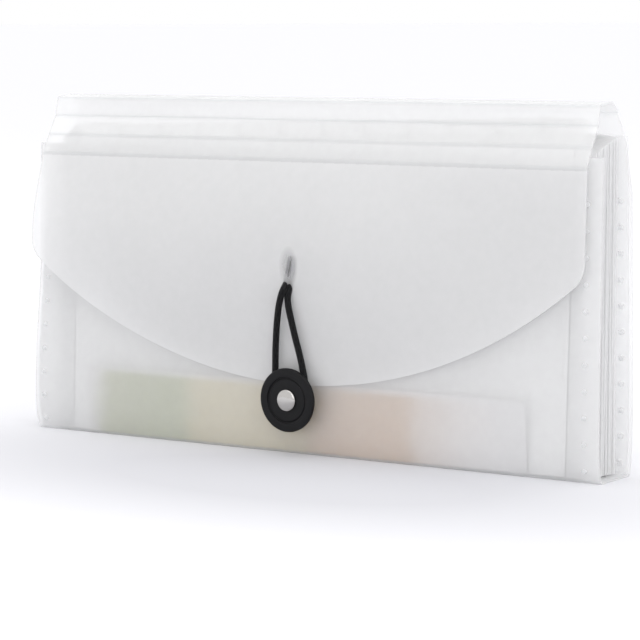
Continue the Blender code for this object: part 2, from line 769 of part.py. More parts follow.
def cord_ferrule(material):
    """The metal crimp that holds the loop's two ends behind the flap."""
    low = LOOP_ROUTE[0][-1] + SEAT_GAP
    flap_back = max(height_on(FLAP_PROFILE, low), height_on(FLAP_PROFILE, low + FERRULE_LENGTH)) + COVER_SHEET
    y = flap_back + SEAT_GAP + FERRULE_DEPTH * MID_SHARE
    bm = bmesh.new()
    bmesh.ops.create_cube(bm, size=1)
    for vert in bm.verts:
        mouth = FERRULE_MOUTH_SHARE if vert.co.z < 0 else 1
        vert.co.x *= FERRULE_WIDTH * mouth
        vert.co.y = vert.co.y * FERRULE_DEPTH * mouth + y
        vert.co.z = low + FERRULE_LENGTH * (vert.co.z + MID_SHARE)
    upright = [edge for edge in bm.edges if abs(edge.verts[0].co.z - edge.verts[1].co.z) > FERRULE_ROUND]
    top = [edge for edge in bm.edges if min(vert.co.z for vert in edge.verts) > low + FERRULE_ROUND]
    bmesh.ops.bevel(bm, geom=upright + top, offset=FERRULE_ROUND, segments=FERRULE_ROUND_SEGMENTS, profile=0.5,
                    affect="EDGES", clamp_overlap=True)
    return make_object("cord_ferrule", bm, material, crease_hinges()[-1], True)


def label_card(material):
    foot = Vector((FRONT_FOOT.x + COVER_SHEET + CARD_FOOT_SETBACK, DIVIDER_FOOT_Z))
    top = foot + Vector((-CARD_LEAN, CARD_HEIGHT))
    profile = [foot, top]
    length = (top - foot).length
    left = CARD_LEFT_MARGIN - HALF_WIDTH
    right = HALF_WIDTH - CARD_RIGHT_MARGIN
    outline = [(left, 0), (right, 0), (right, length), (left, length)]
    return make_object("label_card", bent_sheet(outline, profile, -CARD_SHEET), material, front_hinge())


def build():
    clear_scene()
    frosted = make_material("frosted_sheet", (0.86, 0.87, 0.88), 0.45, alpha=0.45)
    film = make_material("pleat_film", (0.84, 0.85, 0.86), 0.5, alpha=0.4)
    black_plastic = make_material("black_plastic", (0.015, 0.015, 0.016), 0.35)
    steel = make_material("polished_steel", (0.75, 0.75, 0.76), 0.22, 1.0)
    elastic = make_material("black_elastic", (0.012, 0.012, 0.013), 0.8)
    card = make_material("coloured_card", (0.72, 0.66, 0.50), 0.8)
    back_panel(frosted)
    bottom_panel(frosted)
    front_panel(frosted)
    top_strips(frosted)
    flap_panel(frosted)
    dividers(film)
    gusset("left_gusset", -1, film)
    gusset("right_gusset", 1, film)
    button_disc(black_plastic)
    button_rivet(steel)
    rivet_washer(steel)
    elastic_loop(elastic)
    cord_ferrule(steel)
    label_card(card)


build()
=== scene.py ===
"""Looks of the expanding file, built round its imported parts. Lengths are in metres, z is up."""

import math

import bmesh
import bpy
import numpy as np
from mathutils import Matrix, Vector, geometry


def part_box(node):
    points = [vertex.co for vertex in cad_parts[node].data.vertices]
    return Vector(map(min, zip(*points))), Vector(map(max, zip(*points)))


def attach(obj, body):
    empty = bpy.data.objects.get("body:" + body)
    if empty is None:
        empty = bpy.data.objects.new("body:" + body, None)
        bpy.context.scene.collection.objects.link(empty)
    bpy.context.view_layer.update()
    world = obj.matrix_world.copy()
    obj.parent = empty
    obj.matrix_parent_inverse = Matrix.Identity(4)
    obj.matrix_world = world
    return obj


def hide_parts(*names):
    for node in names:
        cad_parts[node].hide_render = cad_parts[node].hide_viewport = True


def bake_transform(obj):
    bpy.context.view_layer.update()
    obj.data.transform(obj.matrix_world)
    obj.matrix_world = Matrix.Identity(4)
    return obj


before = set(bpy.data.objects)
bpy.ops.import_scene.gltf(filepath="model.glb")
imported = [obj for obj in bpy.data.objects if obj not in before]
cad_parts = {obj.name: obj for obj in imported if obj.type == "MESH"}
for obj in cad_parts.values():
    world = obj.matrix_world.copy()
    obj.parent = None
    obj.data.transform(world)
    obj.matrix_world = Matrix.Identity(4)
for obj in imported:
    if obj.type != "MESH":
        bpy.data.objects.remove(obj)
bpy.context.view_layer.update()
MM = 0.001

# Camera, fitted to the photograph's corners, creases and weld spots
CAMERA_PLACE = Vector((0.6112, -0.8894, 0.1724))
CAMERA_YAW = math.radians(34.43)
CAMERA_PITCH = math.radians(6.38)
CAMERA_ROLL = math.radians(-0.36)
CAMERA_LENS = 155.475
SENSOR_WIDTH = 36
CLIP_RANGE = (0.05, 200)


def make_camera():
    """The photograph's camera, without depth of field."""
    ahead = Vector((
        -math.sin(CAMERA_YAW) * math.cos(CAMERA_PITCH),
        math.cos(CAMERA_YAW) * math.cos(CAMERA_PITCH),
        -math.sin(CAMERA_PITCH),
    ))
    level = Vector((math.cos(CAMERA_YAW), math.sin(CAMERA_YAW), 0))
    upright = level.cross(ahead)
    right = level * math.cos(CAMERA_ROLL) + upright * math.sin(CAMERA_ROLL)
    up = upright * math.cos(CAMERA_ROLL) - level * math.sin(CAMERA_ROLL)
    data = bpy.data.cameras.new("camera")
    data.sensor_width = SENSOR_WIDTH
    data.lens = CAMERA_LENS
    data.clip_start, data.clip_end = CLIP_RANGE
    camera = bpy.data.objects.new("camera", data)
    turn = Matrix((right, up, -ahead)).transposed().to_4x4()
    camera.matrix_world = Matrix.Translation(CAMERA_PLACE) @ turn
    bpy.context.collection.objects.link(camera)
    bpy.context.scene.camera = camera


make_camera()


# Node helpers

class Tree:
    """A short way to write a node tree."""

    def __init__(self, owner):
        owner.use_nodes = True
        self.tree = owner.node_tree
        self.tree.nodes.clear()

    def add(self, kind, links=None, **settings):
        """A new node. links gives each input a value or another node's output, settings its other properties."""
        node = self.tree.nodes.new(kind)
        for key, value in settings.items():
            setattr(node, key, value)
        for socket, value in (links or {}).items():
            if isinstance(value, bpy.types.NodeSocket):
                self.tree.links.new(value, node.inputs[socket])
            else:
                node.inputs[socket].default_value = value
        return node

    def noise(self, place, scale, detail=2.0, roughness=0.5):
        made = self.add("ShaderNodeTexNoise", {
            "Vector": place, "Scale": scale, "Detail": detail, "Roughness": roughness})
        return made.outputs["Fac"]

    def spread(self, value, low, high, start=0.0, end=1.0):
        """The value, stretched so that start to end becomes low to high, and held at both."""
        made = self.add("ShaderNodeMapRange", {
            "Value": value, "From Min": start, "From Max": end, "To Min": low, "To Max": high})
        return made.outputs["Result"]

    def tint(self, share, first, second):
        """A colour between two, each a plain one or a node's output."""
        first, second = ((*tone, 1) if isinstance(tone, tuple) else tone for tone in (first, second))
        made = self.add("ShaderNodeMix", {0: share, 6: first, 7: second}, data_type="RGBA")
        return made.outputs[2]

    def math(self, operation, first, second):
        return self.add("ShaderNodeMath", {0: first, 1: second}, operation=operation).outputs[0]

    def vector(self, operation, first, second=None):
        links = {0: first} if second is None else {0: first, 1: second}
        return self.add("ShaderNodeVectorMath", links, operation=operation)

    def place(self):
        return self.add("ShaderNodeTexCoord").outputs["Object"]

    def mixed(self, share, first, second):
        """A shader between two."""
        return self.add("ShaderNodeMixShader", {0: share, 1: first.outputs[0], 2: second.outputs[0]})

    def bump(self, height, strength, distance):
        node = self.add("ShaderNodeBump", {"Height": height, "Strength": strength, "Distance": distance})
        return node.outputs[0]

    def seen(self):
        """One for rays from the eye, from metal and from glass."""
        path = self.add("ShaderNodeLightPath")
        some = self.math("MAXIMUM", path.outputs["Is Camera Ray"], path.outputs["Is Glossy Ray"])
        return self.math("MAXIMUM", some, path.outputs["Is Transmission Ray"])

    def finish(self, shader, kind="ShaderNodeOutputMaterial"):
        self.add(kind, {"Surface": shader.outputs[0]})


# Ground, backdrop and light
WORLD_TONE = (1.0, 1.0, 1.0)
WALL_LEVEL = 1.3
CEILING_LEVEL = 0.75
FLOOR_TONE = (0.67, 0.67, 0.70)
FLOOR_GAP = 0.00005
FLOOR_GRAIN = 6.0
# A painted glow, seen only by rays from the eye, from metal and from glass, whitens the paper away from the
# shadow in front: its middle, its stretch, and (from, to, glow)
SHADOW_MIDDLE = (0.03, -0.06, 0.0)
SHADOW_STRETCH = (0.625, 1.25, 0.0)
FLOOR_PAINTED_GLOWS = ((0.05, 0.13, 0.20), (0.13, 0.6, 0.15))
FLOOR_SIZE = 60.0
# Place, aim, side and power of each lamp
LAMPS = {
    "softbox_top": ((0.1, 0.05, 1.2), (0.0, 0.0, 0.05), 1.3, 5.2),
    "softbox_front": ((0.9, -1.1, 0.9), (0.0, 0.0, 0.06), 1.1, 3.1),
    "softbox_side": ((1.1, 0.35, 0.45), (0.1, 0.0, 0.07), 0.7, 0.5),
}


def make_world():
    """Pale walls and a dimmer ceiling light the object, and the eye sees white."""
    world = bpy.data.worlds.new("studio")
    bpy.context.scene.world = world
    tree = Tree(world)
    way = tree.add("ShaderNodeTexCoord").outputs["Generated"]
    height = tree.add("ShaderNodeSeparateXYZ", {0: way}).outputs["Z"]
    level = tree.spread(height, WALL_LEVEL, CEILING_LEVEL)
    light = tree.add("ShaderNodeBackground", {"Color": (*WORLD_TONE, 1), "Strength": level})
    white = tree.add("ShaderNodeBackground", {"Color": (1, 1, 1, 1), "Strength": 1.0})
    tree.finish(tree.mixed(tree.seen(), light, white), "ShaderNodeOutputWorld")


def make_floor():
    """Pale paper that keeps the object's shadow, and a painted glow that whitens it away from that shadow."""
    bm = bmesh.new()
    bmesh.ops.create_grid(bm, x_segments=24, y_segments=24, size=FLOOR_SIZE / 2)
    mesh = bpy.data.meshes.new("floor")
    bm.to_mesh(mesh)
    bm.free()
    floor = bpy.data.objects.new("floor", mesh)
    floor.location.z = -FLOOR_GAP
    bpy.context.collection.objects.link(floor)
    material = bpy.data.materials.new("floor_paper")
    tree = Tree(material)
    place = tree.place()
    tone = tree.tint(tree.noise(place, FLOOR_GRAIN), tuple(0.995 * part for part in FLOOR_TONE), FLOOR_TONE)
    paper = tree.add("ShaderNodeBsdfDiffuse", {"Color": tone, "Roughness": 0.3})
    off = tree.vector("SUBTRACT", place, SHADOW_MIDDLE).outputs["Vector"]
    off = tree.vector("MULTIPLY", off, SHADOW_STRETCH).outputs["Vector"]
    away = tree.vector("LENGTH", off).outputs["Value"]
    # Painted glow: it rises with distance from the shadow in front, for rays from the eye, metal and glass
    far = tree.math("ADD", *[tree.spread(away, 0.0, painted_glow, start, end) for start, end, painted_glow in FLOOR_PAINTED_GLOWS])
    painted_glow = tree.add("ShaderNodeEmission", {
        "Color": (1, 1, 1, 1), "Strength": tree.math("MULTIPLY", tree.seen(), far)})
    tree.finish(tree.add("ShaderNodeAddShader", {0: paper.outputs[0], 1: painted_glow.outputs[0]}))
    mesh.materials.append(material)


def make_lamps():
    for name, (place, aim, size, power) in LAMPS.items():
        data = bpy.data.lights.new(name, "AREA")
        data.shape = "SQUARE"
        data.size = size
        data.energy = power
        lamp = bpy.data.objects.new(name, data)
        lamp.location = place
        lamp.rotation_euler = (Vector(aim) - Vector(place)).to_track_quat("-Z", "Y").to_euler()
        bpy.context.collection.objects.link(lamp)


bpy.context.scene.view_settings.view_transform = "Standard"
make_world()
make_floor()
make_lamps()


# Materials

PLASTIC_IOR = 1.49
CLEAR_TONE = (0.988, 0.988, 0.988)
# A ray is followed through eight clear surfaces. The last of them is drawn whole, or it would be black
CLEAR_LIMIT = 6.5
SHADOW_RAY_SHIFT = 10.0
# Noise scales across a frosted sheet, and the low and high part of the noise that is used
CLOUD_SCALE = 16.0
MOTTLE_SCALE = 260.0
GRAIN_SCALE = 2200.0
GRAIN_DEPTH = 0.00005
GRAIN = 0.1
USED = (0.3, 0.7)
# A cloudy sheet's darkest part, and the scattering over the crimp: its share, from and to, by nearness
SHADE = 0.99
TOUCH_FADE = (0.30, 1.0, 0.35, 1.25)
CRIMP_PATCH = ((0.0013, -0.020, 0.0745), (0.0036, 0.01, 0.0066))


def closed_at_last(tree, amount):
    """The share that scatters, made whole at the last clear surface that the render follows a ray through."""
    path = tree.add("ShaderNodeLightPath")
    shadow = tree.math("MULTIPLY", path.outputs["Is Shadow Ray"], SHADOW_RAY_SHIFT)
    passed = tree.math("SUBTRACT", path.outputs["Transparent Depth"], shadow)
    return tree.math("MAXIMUM", amount, tree.math("GREATER_THAN", passed, CLEAR_LIMIT))


def nearness(tree, place, middle, size):
    """Zero at the middle of an ellipsoid and one on it, given its half size."""
    off = tree.vector("SUBTRACT", place, middle).outputs["Vector"]
    off = tree.vector("DIVIDE", off, size).outputs["Vector"]
    return tree.vector("LENGTH", off).outputs["Value"]


def frost(name, base, solid, rough=0.42, glow=0.3, touch=None):
    """Frosted sheet: each face scatters the share solid of the light and lets the rest straight through.

    Of the scattered light, the share glow comes out on the far side. The sheet looks clearer where a part
    touches it from behind, and touch is that patch, as its middle and half size.
    """
    material = bpy.data.materials.new(name)
    tree = Tree(material)
    place = tree.place()
    cloud = tree.noise(place, CLOUD_SCALE, 3.0)
    fine = tree.noise(place, GRAIN_SCALE)
    mottle = tree.noise(place, MOTTLE_SCALE)
    mixed = tree.math("ADD", tree.math("MULTIPLY", cloud, 0.6), tree.math("MULTIPLY", mottle, 0.4))
    tone = tree.tint(tree.spread(mixed, 0, 1, *USED), tuple(SHADE * part for part in base), base)
    plastic = tree.add("ShaderNodeBsdfPrincipled", {
        "Base Color": tone,
        "Roughness": tree.spread(mottle, rough - 0.05, rough + 0.05, *USED),
        "Normal": tree.bump(fine, GRAIN, GRAIN_DEPTH),
        "IOR": PLASTIC_IOR,
    })
    through = tree.add("ShaderNodeBsdfTranslucent", {"Color": tone})
    clear = tree.add("ShaderNodeBsdfTransparent", {"Color": (*CLEAR_TONE, 1)})
    amount = tree.spread(mixed, solid * 0.97, solid * 1.03, *USED)
    if touch:
        amount = tree.math("MULTIPLY", amount, tree.spread(nearness(tree, place, *touch), *TOUCH_FADE))
    tree.finish(tree.mixed(closed_at_last(tree, amount), clear, tree.mixed(glow, plastic, through)))
    return material


COVER_SKIN = frost("cover_frost", (0.995, 0.995, 0.997), 0.36, glow=0.16)
FLAP_SKIN = frost("flap_frost", (0.998, 0.998, 1.0), 0.43, glow=0.12, touch=CRIMP_PATCH)
# Painted shade: the front panel's frost is a darker copy of the cover's frost, so the whole front panel reads
# shaded
FRONT_SKIN_PAINTED_SHADE = frost("front_cover_frost_painted_shade", (0.955, 0.955, 0.957), 0.36, glow=0.16)
COVER_EDGE = frost("cover_cut_edge", (0.86, 0.865, 0.87), 0.7, rough=0.35, glow=0.3)
COVER_CREASE = frost("cover_crease", (0.93, 0.935, 0.94), 0.4, rough=0.35)
DIVIDER_SKIN = frost("divider_frost", (0.995, 0.995, 0.997), 0.92, rough=0.5, glow=0.0)
DIVIDER_EDGE = frost("divider_cut_edge", (0.95, 0.95, 0.955), 0.85, rough=0.4, glow=0.15)
PLEAT_SKIN = frost("pleat_film_frost", (0.995, 0.995, 0.999), 0.75, rough=0.45, glow=0.2)
PLEAT_EDGE = frost("pleat_film_edge", (0.90, 0.905, 0.915), 0.8, rough=0.4, glow=0.15)
WELD = frost("weld_spot", (0.995, 0.995, 0.999), 0.9, rough=0.25, glow=0.7)
PLEAT_WELDED = frost("welded_flange_film", (0.995, 0.995, 0.999), 0.16, rough=0.35, glow=0.45)


# Curves and surfaces

def smooth_line(knots, values):
    """A smooth function through the given values, which eases between knots."""
    knots = np.array(knots, float)
    values = np.array(values, float)
    slopes = np.gradient(values, knots)

    def read(at):
        at = np.asarray(at, float)
        held = np.clip(at, knots[0], knots[-1])
        index = np.clip(np.searchsorted(knots, held) - 1, 0, len(knots) - 2)
        width = knots[index + 1] - knots[index]
        t = (held - knots[index]) / width
        near = values[index] * (2 * t ** 3 - 3 * t ** 2 + 1) + values[index + 1] * (3 * t ** 2 - 2 * t ** 3)
        lean = slopes[index] * (t ** 3 - 2 * t ** 2 + t) + slopes[index + 1] * (t ** 3 - t ** 2)
        beyond = (at - held) * np.where(at < knots[0], slopes[0], slopes[-1])
        return near + lean * width + beyond

    return read


def ease(t):
    t = np.clip(t, 0, 1)
    return t * t * (3 - 2 * t)


# The cover, as in the solids. NECK is half the sheet's thickness at a crease line, and NECK_STEP keeps two
# sheets that meet there off one surface
HALF_WIDTH = 0.133
TOP_HALF_WIDTH = 0.1275
HALF_SHEET = 0.0003
NECK = 0.00017
NECK_STEP = 0.000006
NECK_RUN = 0.0009
HALF_DEPTH = 0.011
BACK_HEIGHT = 0.1348
BACK_BULGE = 0.0022
FRONT_HEIGHT = 0.119
FRONT_BULGE = 0.004
FRONT_SETBACK = 0.002
SIDE_POWER = 1.7
BULGE_HEIGHTS = (0, 0.025, 0.066, 0.124, 0.207, 0.331, 0.496, 0.661, 0.826, 1)
BULGES = (0, 0.375, 0.70, 0.90, 1, 0.96, 0.75, 0.50, 0.26, 0)
bulge = smooth_line(BULGE_HEIGHTS, BULGES)
# The six crease lines over the top, from the back, as (y, z)
HINGES = [Vector((y, z)) * MM for y, z in (
    (10.703, 134.661), (6.168, 138.645), (-2.778, 137.658),
    (-4.352, 130.188), (-8.956, 122.586), (-12.644, 115.025))]
FLAP_TOP = Vector((-12.92, 115.14)) * MM
FLAP_TIP = Vector((-15.395, 27.9)) * MM
FLAP_BOW = 0.0072
FLAP_LENGTHS = (0, 0.06, 0.124, 0.19, 0.255, 0.346, 0.45, 0.553, 0.65, 0.748, 0.83, 0.91, 1)
FLAP_BOWS = (0, 0.20, 0.42, 0.64, 0.82, 0.97, 1, 0.90, 0.73, 0.50, 0.29, 0.11, 0)
flap_bow = smooth_line(FLAP_LENGTHS, FLAP_BOWS)
# Toward the right the flap loses this share of its bow, from and over these widths
BOW_LOST = 0.92
BOW_FADE_START = 0.012
BOW_FADE_WIDTH = 0.112
# How far the front panel's two side edges stand back from its middle, by height
front_left = smooth_line((0, 0.015, 0.031, 0.044, 0.0585, 0.075, 0.119),
                         (0, 0.0006, 0.0013, 0.0020, 0.0029, 0.0031, 0.0016))
front_right = smooth_line((0, 0.014, 0.030, 0.050, 0.075, 0.100, 0.119),
                          (0, 0.0012, 0.0016, 0.0010, 0.0, -0.0008, -0.0012))


def back_y(z):
    """Middle of the back panel."""
    return HALF_DEPTH + BACK_BULGE * bulge(z / BACK_HEIGHT) - HALF_SHEET


def front_y(x, z):
    """Middle of the front panel."""
    share = np.clip(z / FRONT_HEIGHT, 0, 1)
    flat = -HALF_DEPTH + FRONT_SETBACK * share - FRONT_BULGE * bulge(z / FRONT_HEIGHT) + HALF_SHEET
    off = np.abs(x / HALF_WIDTH) ** SIDE_POWER
    return flat + off * np.where(x < 0, front_left(z), front_right(z))


def flap_place(x, s):
    """Middle of the flap at length s from its crease line."""
    length = (FLAP_TIP - FLAP_TOP).length
    share = s / length
    bow = FLAP_BOW * flap_bow(share) * (1 - BOW_LOST * ease((x - BOW_FADE_START) / BOW_FADE_WIDTH))
    y = FLAP_TOP.x + (FLAP_TIP.x - FLAP_TOP.x) * share - bow + HALF_SHEET
    z = FLAP_TOP.y + (FLAP_TIP.y - FLAP_TOP.y) * share
    return np.stack([x, y, z], -1)


def turns(count):
    """Even angles once round."""
    return np.linspace(0, 2 * math.pi, count + 1)[:-1]


def arc(centre, radius, start, end, steps):
    """Points on part of a circle, by angles in degrees."""
    return [(centre[0] + radius * math.cos(math.radians(a)), centre[1] + radius * math.sin(math.radians(a)))
            for a in np.linspace(start, end, steps)]


# Sheets
MESH_STEP = 0.006
HOLE_STEP = 0.0004
HOLE_MARGIN = 0.0006
SHARP_ANGLE = 38


def inside(loop, points):
    """Which points lie inside a closed loop."""
    found = np.zeros(len(points), bool)
    for (x0, s0), (x1, s1) in zip(loop, np.roll(loop, -1, 0)):
        crosses = (s0 > points[:, 1]) != (s1 > points[:, 1])
        if s0 != s1:
            at = x0 + (points[:, 1] - s0) * (x1 - x0) / (s1 - s0)
            found ^= crosses & (points[:, 0] < at)
    return found


def edge_distance(loop, points):
    """How far each point lies from a loop's line."""
    best = np.full(len(points), 1e9)
    for near, far in zip(loop, np.roll(loop, -1, 0)):
        run = far - near
        t = np.clip(((points - near) @ run) / max(run @ run, 1e-18), 0, 1)
        best = np.minimum(best, np.linalg.norm(points - near - t[:, None] * run, axis=1))
    return best


def cut_up(loop, rows, columns, step):
    """The loop with points added where it crosses a row or a column, and at most step apart on slopes."""
    made = []
    for (x0, s0), (x1, s1) in zip(loop, loop[1:] + loop[:1]):
        length = math.hypot(x1 - x0, s1 - s0)
        cuts = {0.0}
        if abs(s1 - s0) > 1e-9:
            cuts |= {(row - s0) / (s1 - s0) for row in rows}
        if abs(x1 - x0) > 1e-9 and abs(s1 - s0) < 1e-9:
            cuts |= {(column - x0) / (x1 - x0) for column in columns}
        elif abs(x1 - x0) > 1e-9:
            pieces = max(1, math.ceil(length / step))
            cuts |= {index / pieces for index in range(pieces)}
        kept = []
        for t in sorted(t for t in cuts if 0 <= t < 1):
            if (not kept or (t - kept[-1]) * length > 1e-6) and (1 - t) * length > 1e-6:
                kept.append(t)
        made += [(x0 + (x1 - x0) * t, s0 + (s1 - s0) * t) for t in kept]
    return made


def sheet(name, loops, rows, surface, half, materials, band=None, step=MESH_STEP, reach=None):
    """A thin closed sheet, meshed along rows and columns.

    loops are its outline and holes as (x, s), surface maps (x, s) to the sheet's middle and half to half its
    thickness. band gives the material of a face by its centre. The columns run from -reach to reach, which is
    half the foot's width unless it is given.
    """
    reach = reach or max(x for x, s in loops[0] if s == min(s for x, s in loops[0]))
    count = round(2 * reach / step)
    columns = [-reach + 2 * reach * n / count for n in range(count + 1)]
    loops = [cut_up([tuple(p) for p in loop], rows, columns, HOLE_STEP if n else step)
             for n, loop in enumerate(loops)]
    outer = np.array(loops[0])
    grid = np.array([(x, s) for s in rows for x in columns])
    keep = inside(outer, grid) & (edge_distance(outer, grid) > 0.00001)
    for hole in loops[1:]:
        hole = np.array(hole)
        keep &= ~inside(hole, grid) & (edge_distance(hole, grid) > HOLE_MARGIN)
    points = []
    edges = []
    for loop in loops:
        start = len(points)
        points += loop
        edges += [(start + n, start + (n + 1) % len(loop)) for n in range(len(loop))]
    points += [tuple(p) for p in grid[keep]]
    net = geometry.delaunay_2d_cdt([Vector(p) for p in points], edges, [], 2, 1e-7)
    at = np.array([tuple(v) for v in net[0]])
    return solid(name, at, [list(f) for f in net[2]], surface, half, materials, band)


def solid(name, at, faces, surface, half, materials, band):
    """Give a flat net of (x, s) points its form and its thickness, with a rim along its open edges."""
    small = 0.00002
    x, s = at[:, 0], at[:, 1]
    middle = surface(x, s)
    across = surface(x + small, s) - surface(x - small, s)
    along = surface(x, s + small) - surface(x, s - small)
    normal = np.cross(across, along)
    normal /= np.linalg.norm(normal, axis=1)[:, None]
    thick = half(x, s)[:, None]
    count = len(at)
    bm = bmesh.new()
    verts = [bm.verts.new(p) for p in np.concatenate([middle + normal * thick, middle - normal * thick])]
    bm.verts.ensure_lookup_table()
    used = {}
    for face in faces:
        centre = at[face].mean(0)
        kind = band(*centre) if band else 0
        bm.faces.new([verts[n] for n in face]).material_index = kind
        bm.faces.new([verts[n + count] for n in reversed(face)]).material_index = kind
        for a, b in zip(face, face[1:] + face[:1]):
            used[(a, b)] = kind
    for (a, b), kind in used.items():
        if (b, a) not in used:
            rim = bm.faces.new((verts[b], verts[a], verts[a + count], verts[b + count]))
            rim.material_index = 2 if kind == 2 and thick[a, 0] < 0.0001 else 1
    for vert in [v for v in bm.verts if not v.link_faces]:
        bm.verts.remove(vert)
    return made_mesh(name, bm, materials)


def made_mesh(name, bm, materials, angle=SHARP_ANGLE):
    """An object of the closed mesh, smooth but for edges sharper than the angle."""
    bmesh.ops.recalc_face_normals(bm, faces=bm.faces)
    if bm.calc_volume(signed=True) < 0:
        bmesh.ops.reverse_faces(bm, faces=bm.faces)
    mesh = bpy.data.meshes.new(name)
    bm.to_mesh(mesh)
    bm.free()
    for material in materials:
        mesh.materials.append(material)
    mesh.shade_smooth()
    mesh.set_sharp_from_angle(angle=math.radians(angle))
    made = bpy.data.objects.new(name, mesh)
    bpy.context.collection.objects.link(made)
    return made


def stand(piece, body, slot, *nodes):
    """The piece rides on a body and stands for CAD nodes, if any are named."""
    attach(piece, body)
    if nodes:
        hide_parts(*nodes)


CAP_TURNS = (0, 30, 55, 75, 90)


def crease_rows(line, way, neck):
    """Stations near a crease line: a round lip past the line, and the sheet growing to its full thickness."""
    lip = [line - way * neck * math.cos(math.radians(turn)) for turn in CAP_TURNS]
    return lip + [line + way * NECK_RUN * share for share in (0.15, 0.35, 0.6, 0.85, 1.1)]


def ring(across, along, centre, count):
    """The outline of an oval hole about (0, centre)."""
    return [(across * math.cos(a), centre + along * math.sin(a)) for a in turns(count)]


def crease_half(distance, neck):
    """Half thickness at a distance from a crease line, which is negative on the lip."""
    lip = np.sqrt(np.clip(neck ** 2 - np.clip(distance, -neck, 0) ** 2, (0.12 * neck) ** 2, None))
    grown = neck + (HALF_SHEET - neck) * ease(distance / NECK_RUN)
    return np.where(distance < 0, lip, grown)


def rows_between(low, high, step):
    """Even stations from low to high, about step apart."""
    return list(np.linspace(low, high, max(2, round((high - low) / step) + 1)))


def rows_across(low, high, start, step, neck):
    """Stations from one crease line to the next. The even ones begin at start from each."""
    return (crease_rows(low, 1, neck) + rows_between(low + start, high - start, step)
            + crease_rows(high, -1, neck))


def box_loop(half_width, low, high):
    return [(-half_width, low), (half_width, low), (half_width, high), (-half_width, high)]


def panel(name, loops, rows, surface, away, neck, body, node, skin=COVER_SKIN, **meshing):
    """A panel of the cover. away gives the distance from its nearest crease line, which is negative on a lip."""
    def half(x, s):
        return crease_half(away(s), neck)

    def band(x, s):
        return 2 if away(s) < NECK_RUN else 0

    piece = sheet(name, loops, sorted(rows), surface, half, [skin, COVER_EDGE, COVER_CREASE], band, **meshing)
    stand(piece, body, "cover_sheet", node)


# Where the plain rows start off a crease line, how far apart they are, and the height of the foot's middle
ROW_START = 0.002
TALL_ROW_STEP = 0.0032
BASE_ROW_STEP = 0.004
STRIP_ROW_START = 0.0015
STRIP_ROW_STEP = 0.003
FLAP_ROW_STEP = 0.003
FLAP_COLUMN_STEP = 0.005
FOOT_MIDDLE = 0.0003
BASE_REACH = 0.0107
# The back panel narrows over its shoulders
SHOULDER_START = 0.1048
SHOULDER_INSET = 0.006
SHOULDER_SHARES = (0, 0.6, 0.8, 0.88, 0.93, 0.965, 0.985, 1.0)
BACK_COLUMN_REACH = 0.127
# The rivet's hole, the loop's slot and the flap's outline
BUTTON_Z = 0.0224
RIVET_HOLE_RADIUS = 0.0023
SLOT_Z = 0.0659
SLOT_HALF_SIZE = (0.0037, 0.0025)
FLAP_EDGE_RADIUS = 0.195
FLAP_CORNER_RADIUS = 0.011


def make_back_panel():
    top = HINGES[0].y
    low, high = -NECK, top + NECK
    rows = rows_across(0.0, top, ROW_START, TALL_ROW_STEP, NECK)
    shoulder = [(SHOULDER_START + (high - SHOULDER_START) * h, HALF_WIDTH - SHOULDER_INSET * h ** 2)
                for h in SHOULDER_SHARES]
    loop = [(-HALF_WIDTH, low), (HALF_WIDTH, low)] + [(w, z) for z, w in shoulder]
    loop += [(-w, z) for z, w in reversed(shoulder)]

    def surface(x, s):
        z = s + FOOT_MIDDLE * (1 - s / top)
        return np.stack([x, back_y(np.clip(z, 0, None)), z], -1)

    def away(s):
        return np.minimum(s, top - s)

    panel("back_cover", [loop], rows, surface, away, NECK, "housing", "back_panel", reach=BACK_COLUMN_REACH)


def make_bottom_panel():
    neck = NECK - NECK_STEP
    edge = BASE_REACH + neck
    rows = rows_across(-BASE_REACH, BASE_REACH, ROW_START, BASE_ROW_STEP, neck)

    def surface(x, s):
        return np.stack([x, s, np.full_like(s, FOOT_MIDDLE)], -1)

    def away(s):
        return BASE_REACH - abs(s)

    panel("base_cover", [box_loop(HALF_WIDTH, -edge, edge)], rows, surface, away, neck, "housing", "bottom_panel")


def make_front_panel():
    rows = crease_rows(0.0, 1, NECK) + rows_between(ROW_START, FRONT_HEIGHT, TALL_ROW_STEP)
    loop = box_loop(HALF_WIDTH, -NECK, FRONT_HEIGHT)
    hole = ring(RIVET_HOLE_RADIUS, RIVET_HOLE_RADIUS, BUTTON_Z, 24)

    def surface(x, s):
        z = s + FOOT_MIDDLE * (1 - s / FRONT_HEIGHT)
        return np.stack([x, front_y(x, np.clip(z, 0, None)), z], -1)

    def away(s):
        return s

    panel("front_cover", [loop, hole], rows, surface, away, NECK, "front", "front_panel", FRONT_SKIN_PAINTED_SHADE)


def make_strips():
    for index, (low, high) in enumerate(zip(HINGES, HINGES[1:]), 1):
        run = high - low
        length = run.length
        way = run / length
        neck = NECK - NECK_STEP * (2 - index % 2)
        rows = rows_across(0.0, length, STRIP_ROW_START, STRIP_ROW_STEP, neck)
        loop = box_loop(TOP_HALF_WIDTH, -neck, length + neck)

        def surface(x, s, low=low, way=way):
            return np.stack([x, low.x + way.x * s, low.y + way.y * s], -1)

        def away(s, length=length):
            return np.minimum(s, length - s)

        panel(f"top_cover_{index}", [loop], rows, surface, away, neck, f"strip_{index}", f"top_strip_{index}")


def flap_outline(low, length):
    """Straight sides, round corners and one wide arc for the lower edge."""
    half, big, small = TOP_HALF_WIDTH, FLAP_EDGE_RADIUS, FLAP_CORNER_RADIUS
    centre = length - big
    corner = centre + math.sqrt((big - small) ** 2 - (half - small) ** 2)
    meet = math.atan2(half - small, corner - centre)
    right = [(half, low)]
    for angle in np.linspace(math.pi / 2, meet, 13):
        right.append((half - small + small * math.sin(angle), corner + small * math.cos(angle)))
    for angle in np.linspace(meet, 0, 41)[1:]:
        right.append((big * math.sin(angle), centre + big * math.cos(angle)))
    return right + [(-x, s) for x, s in reversed(right[:-1])]


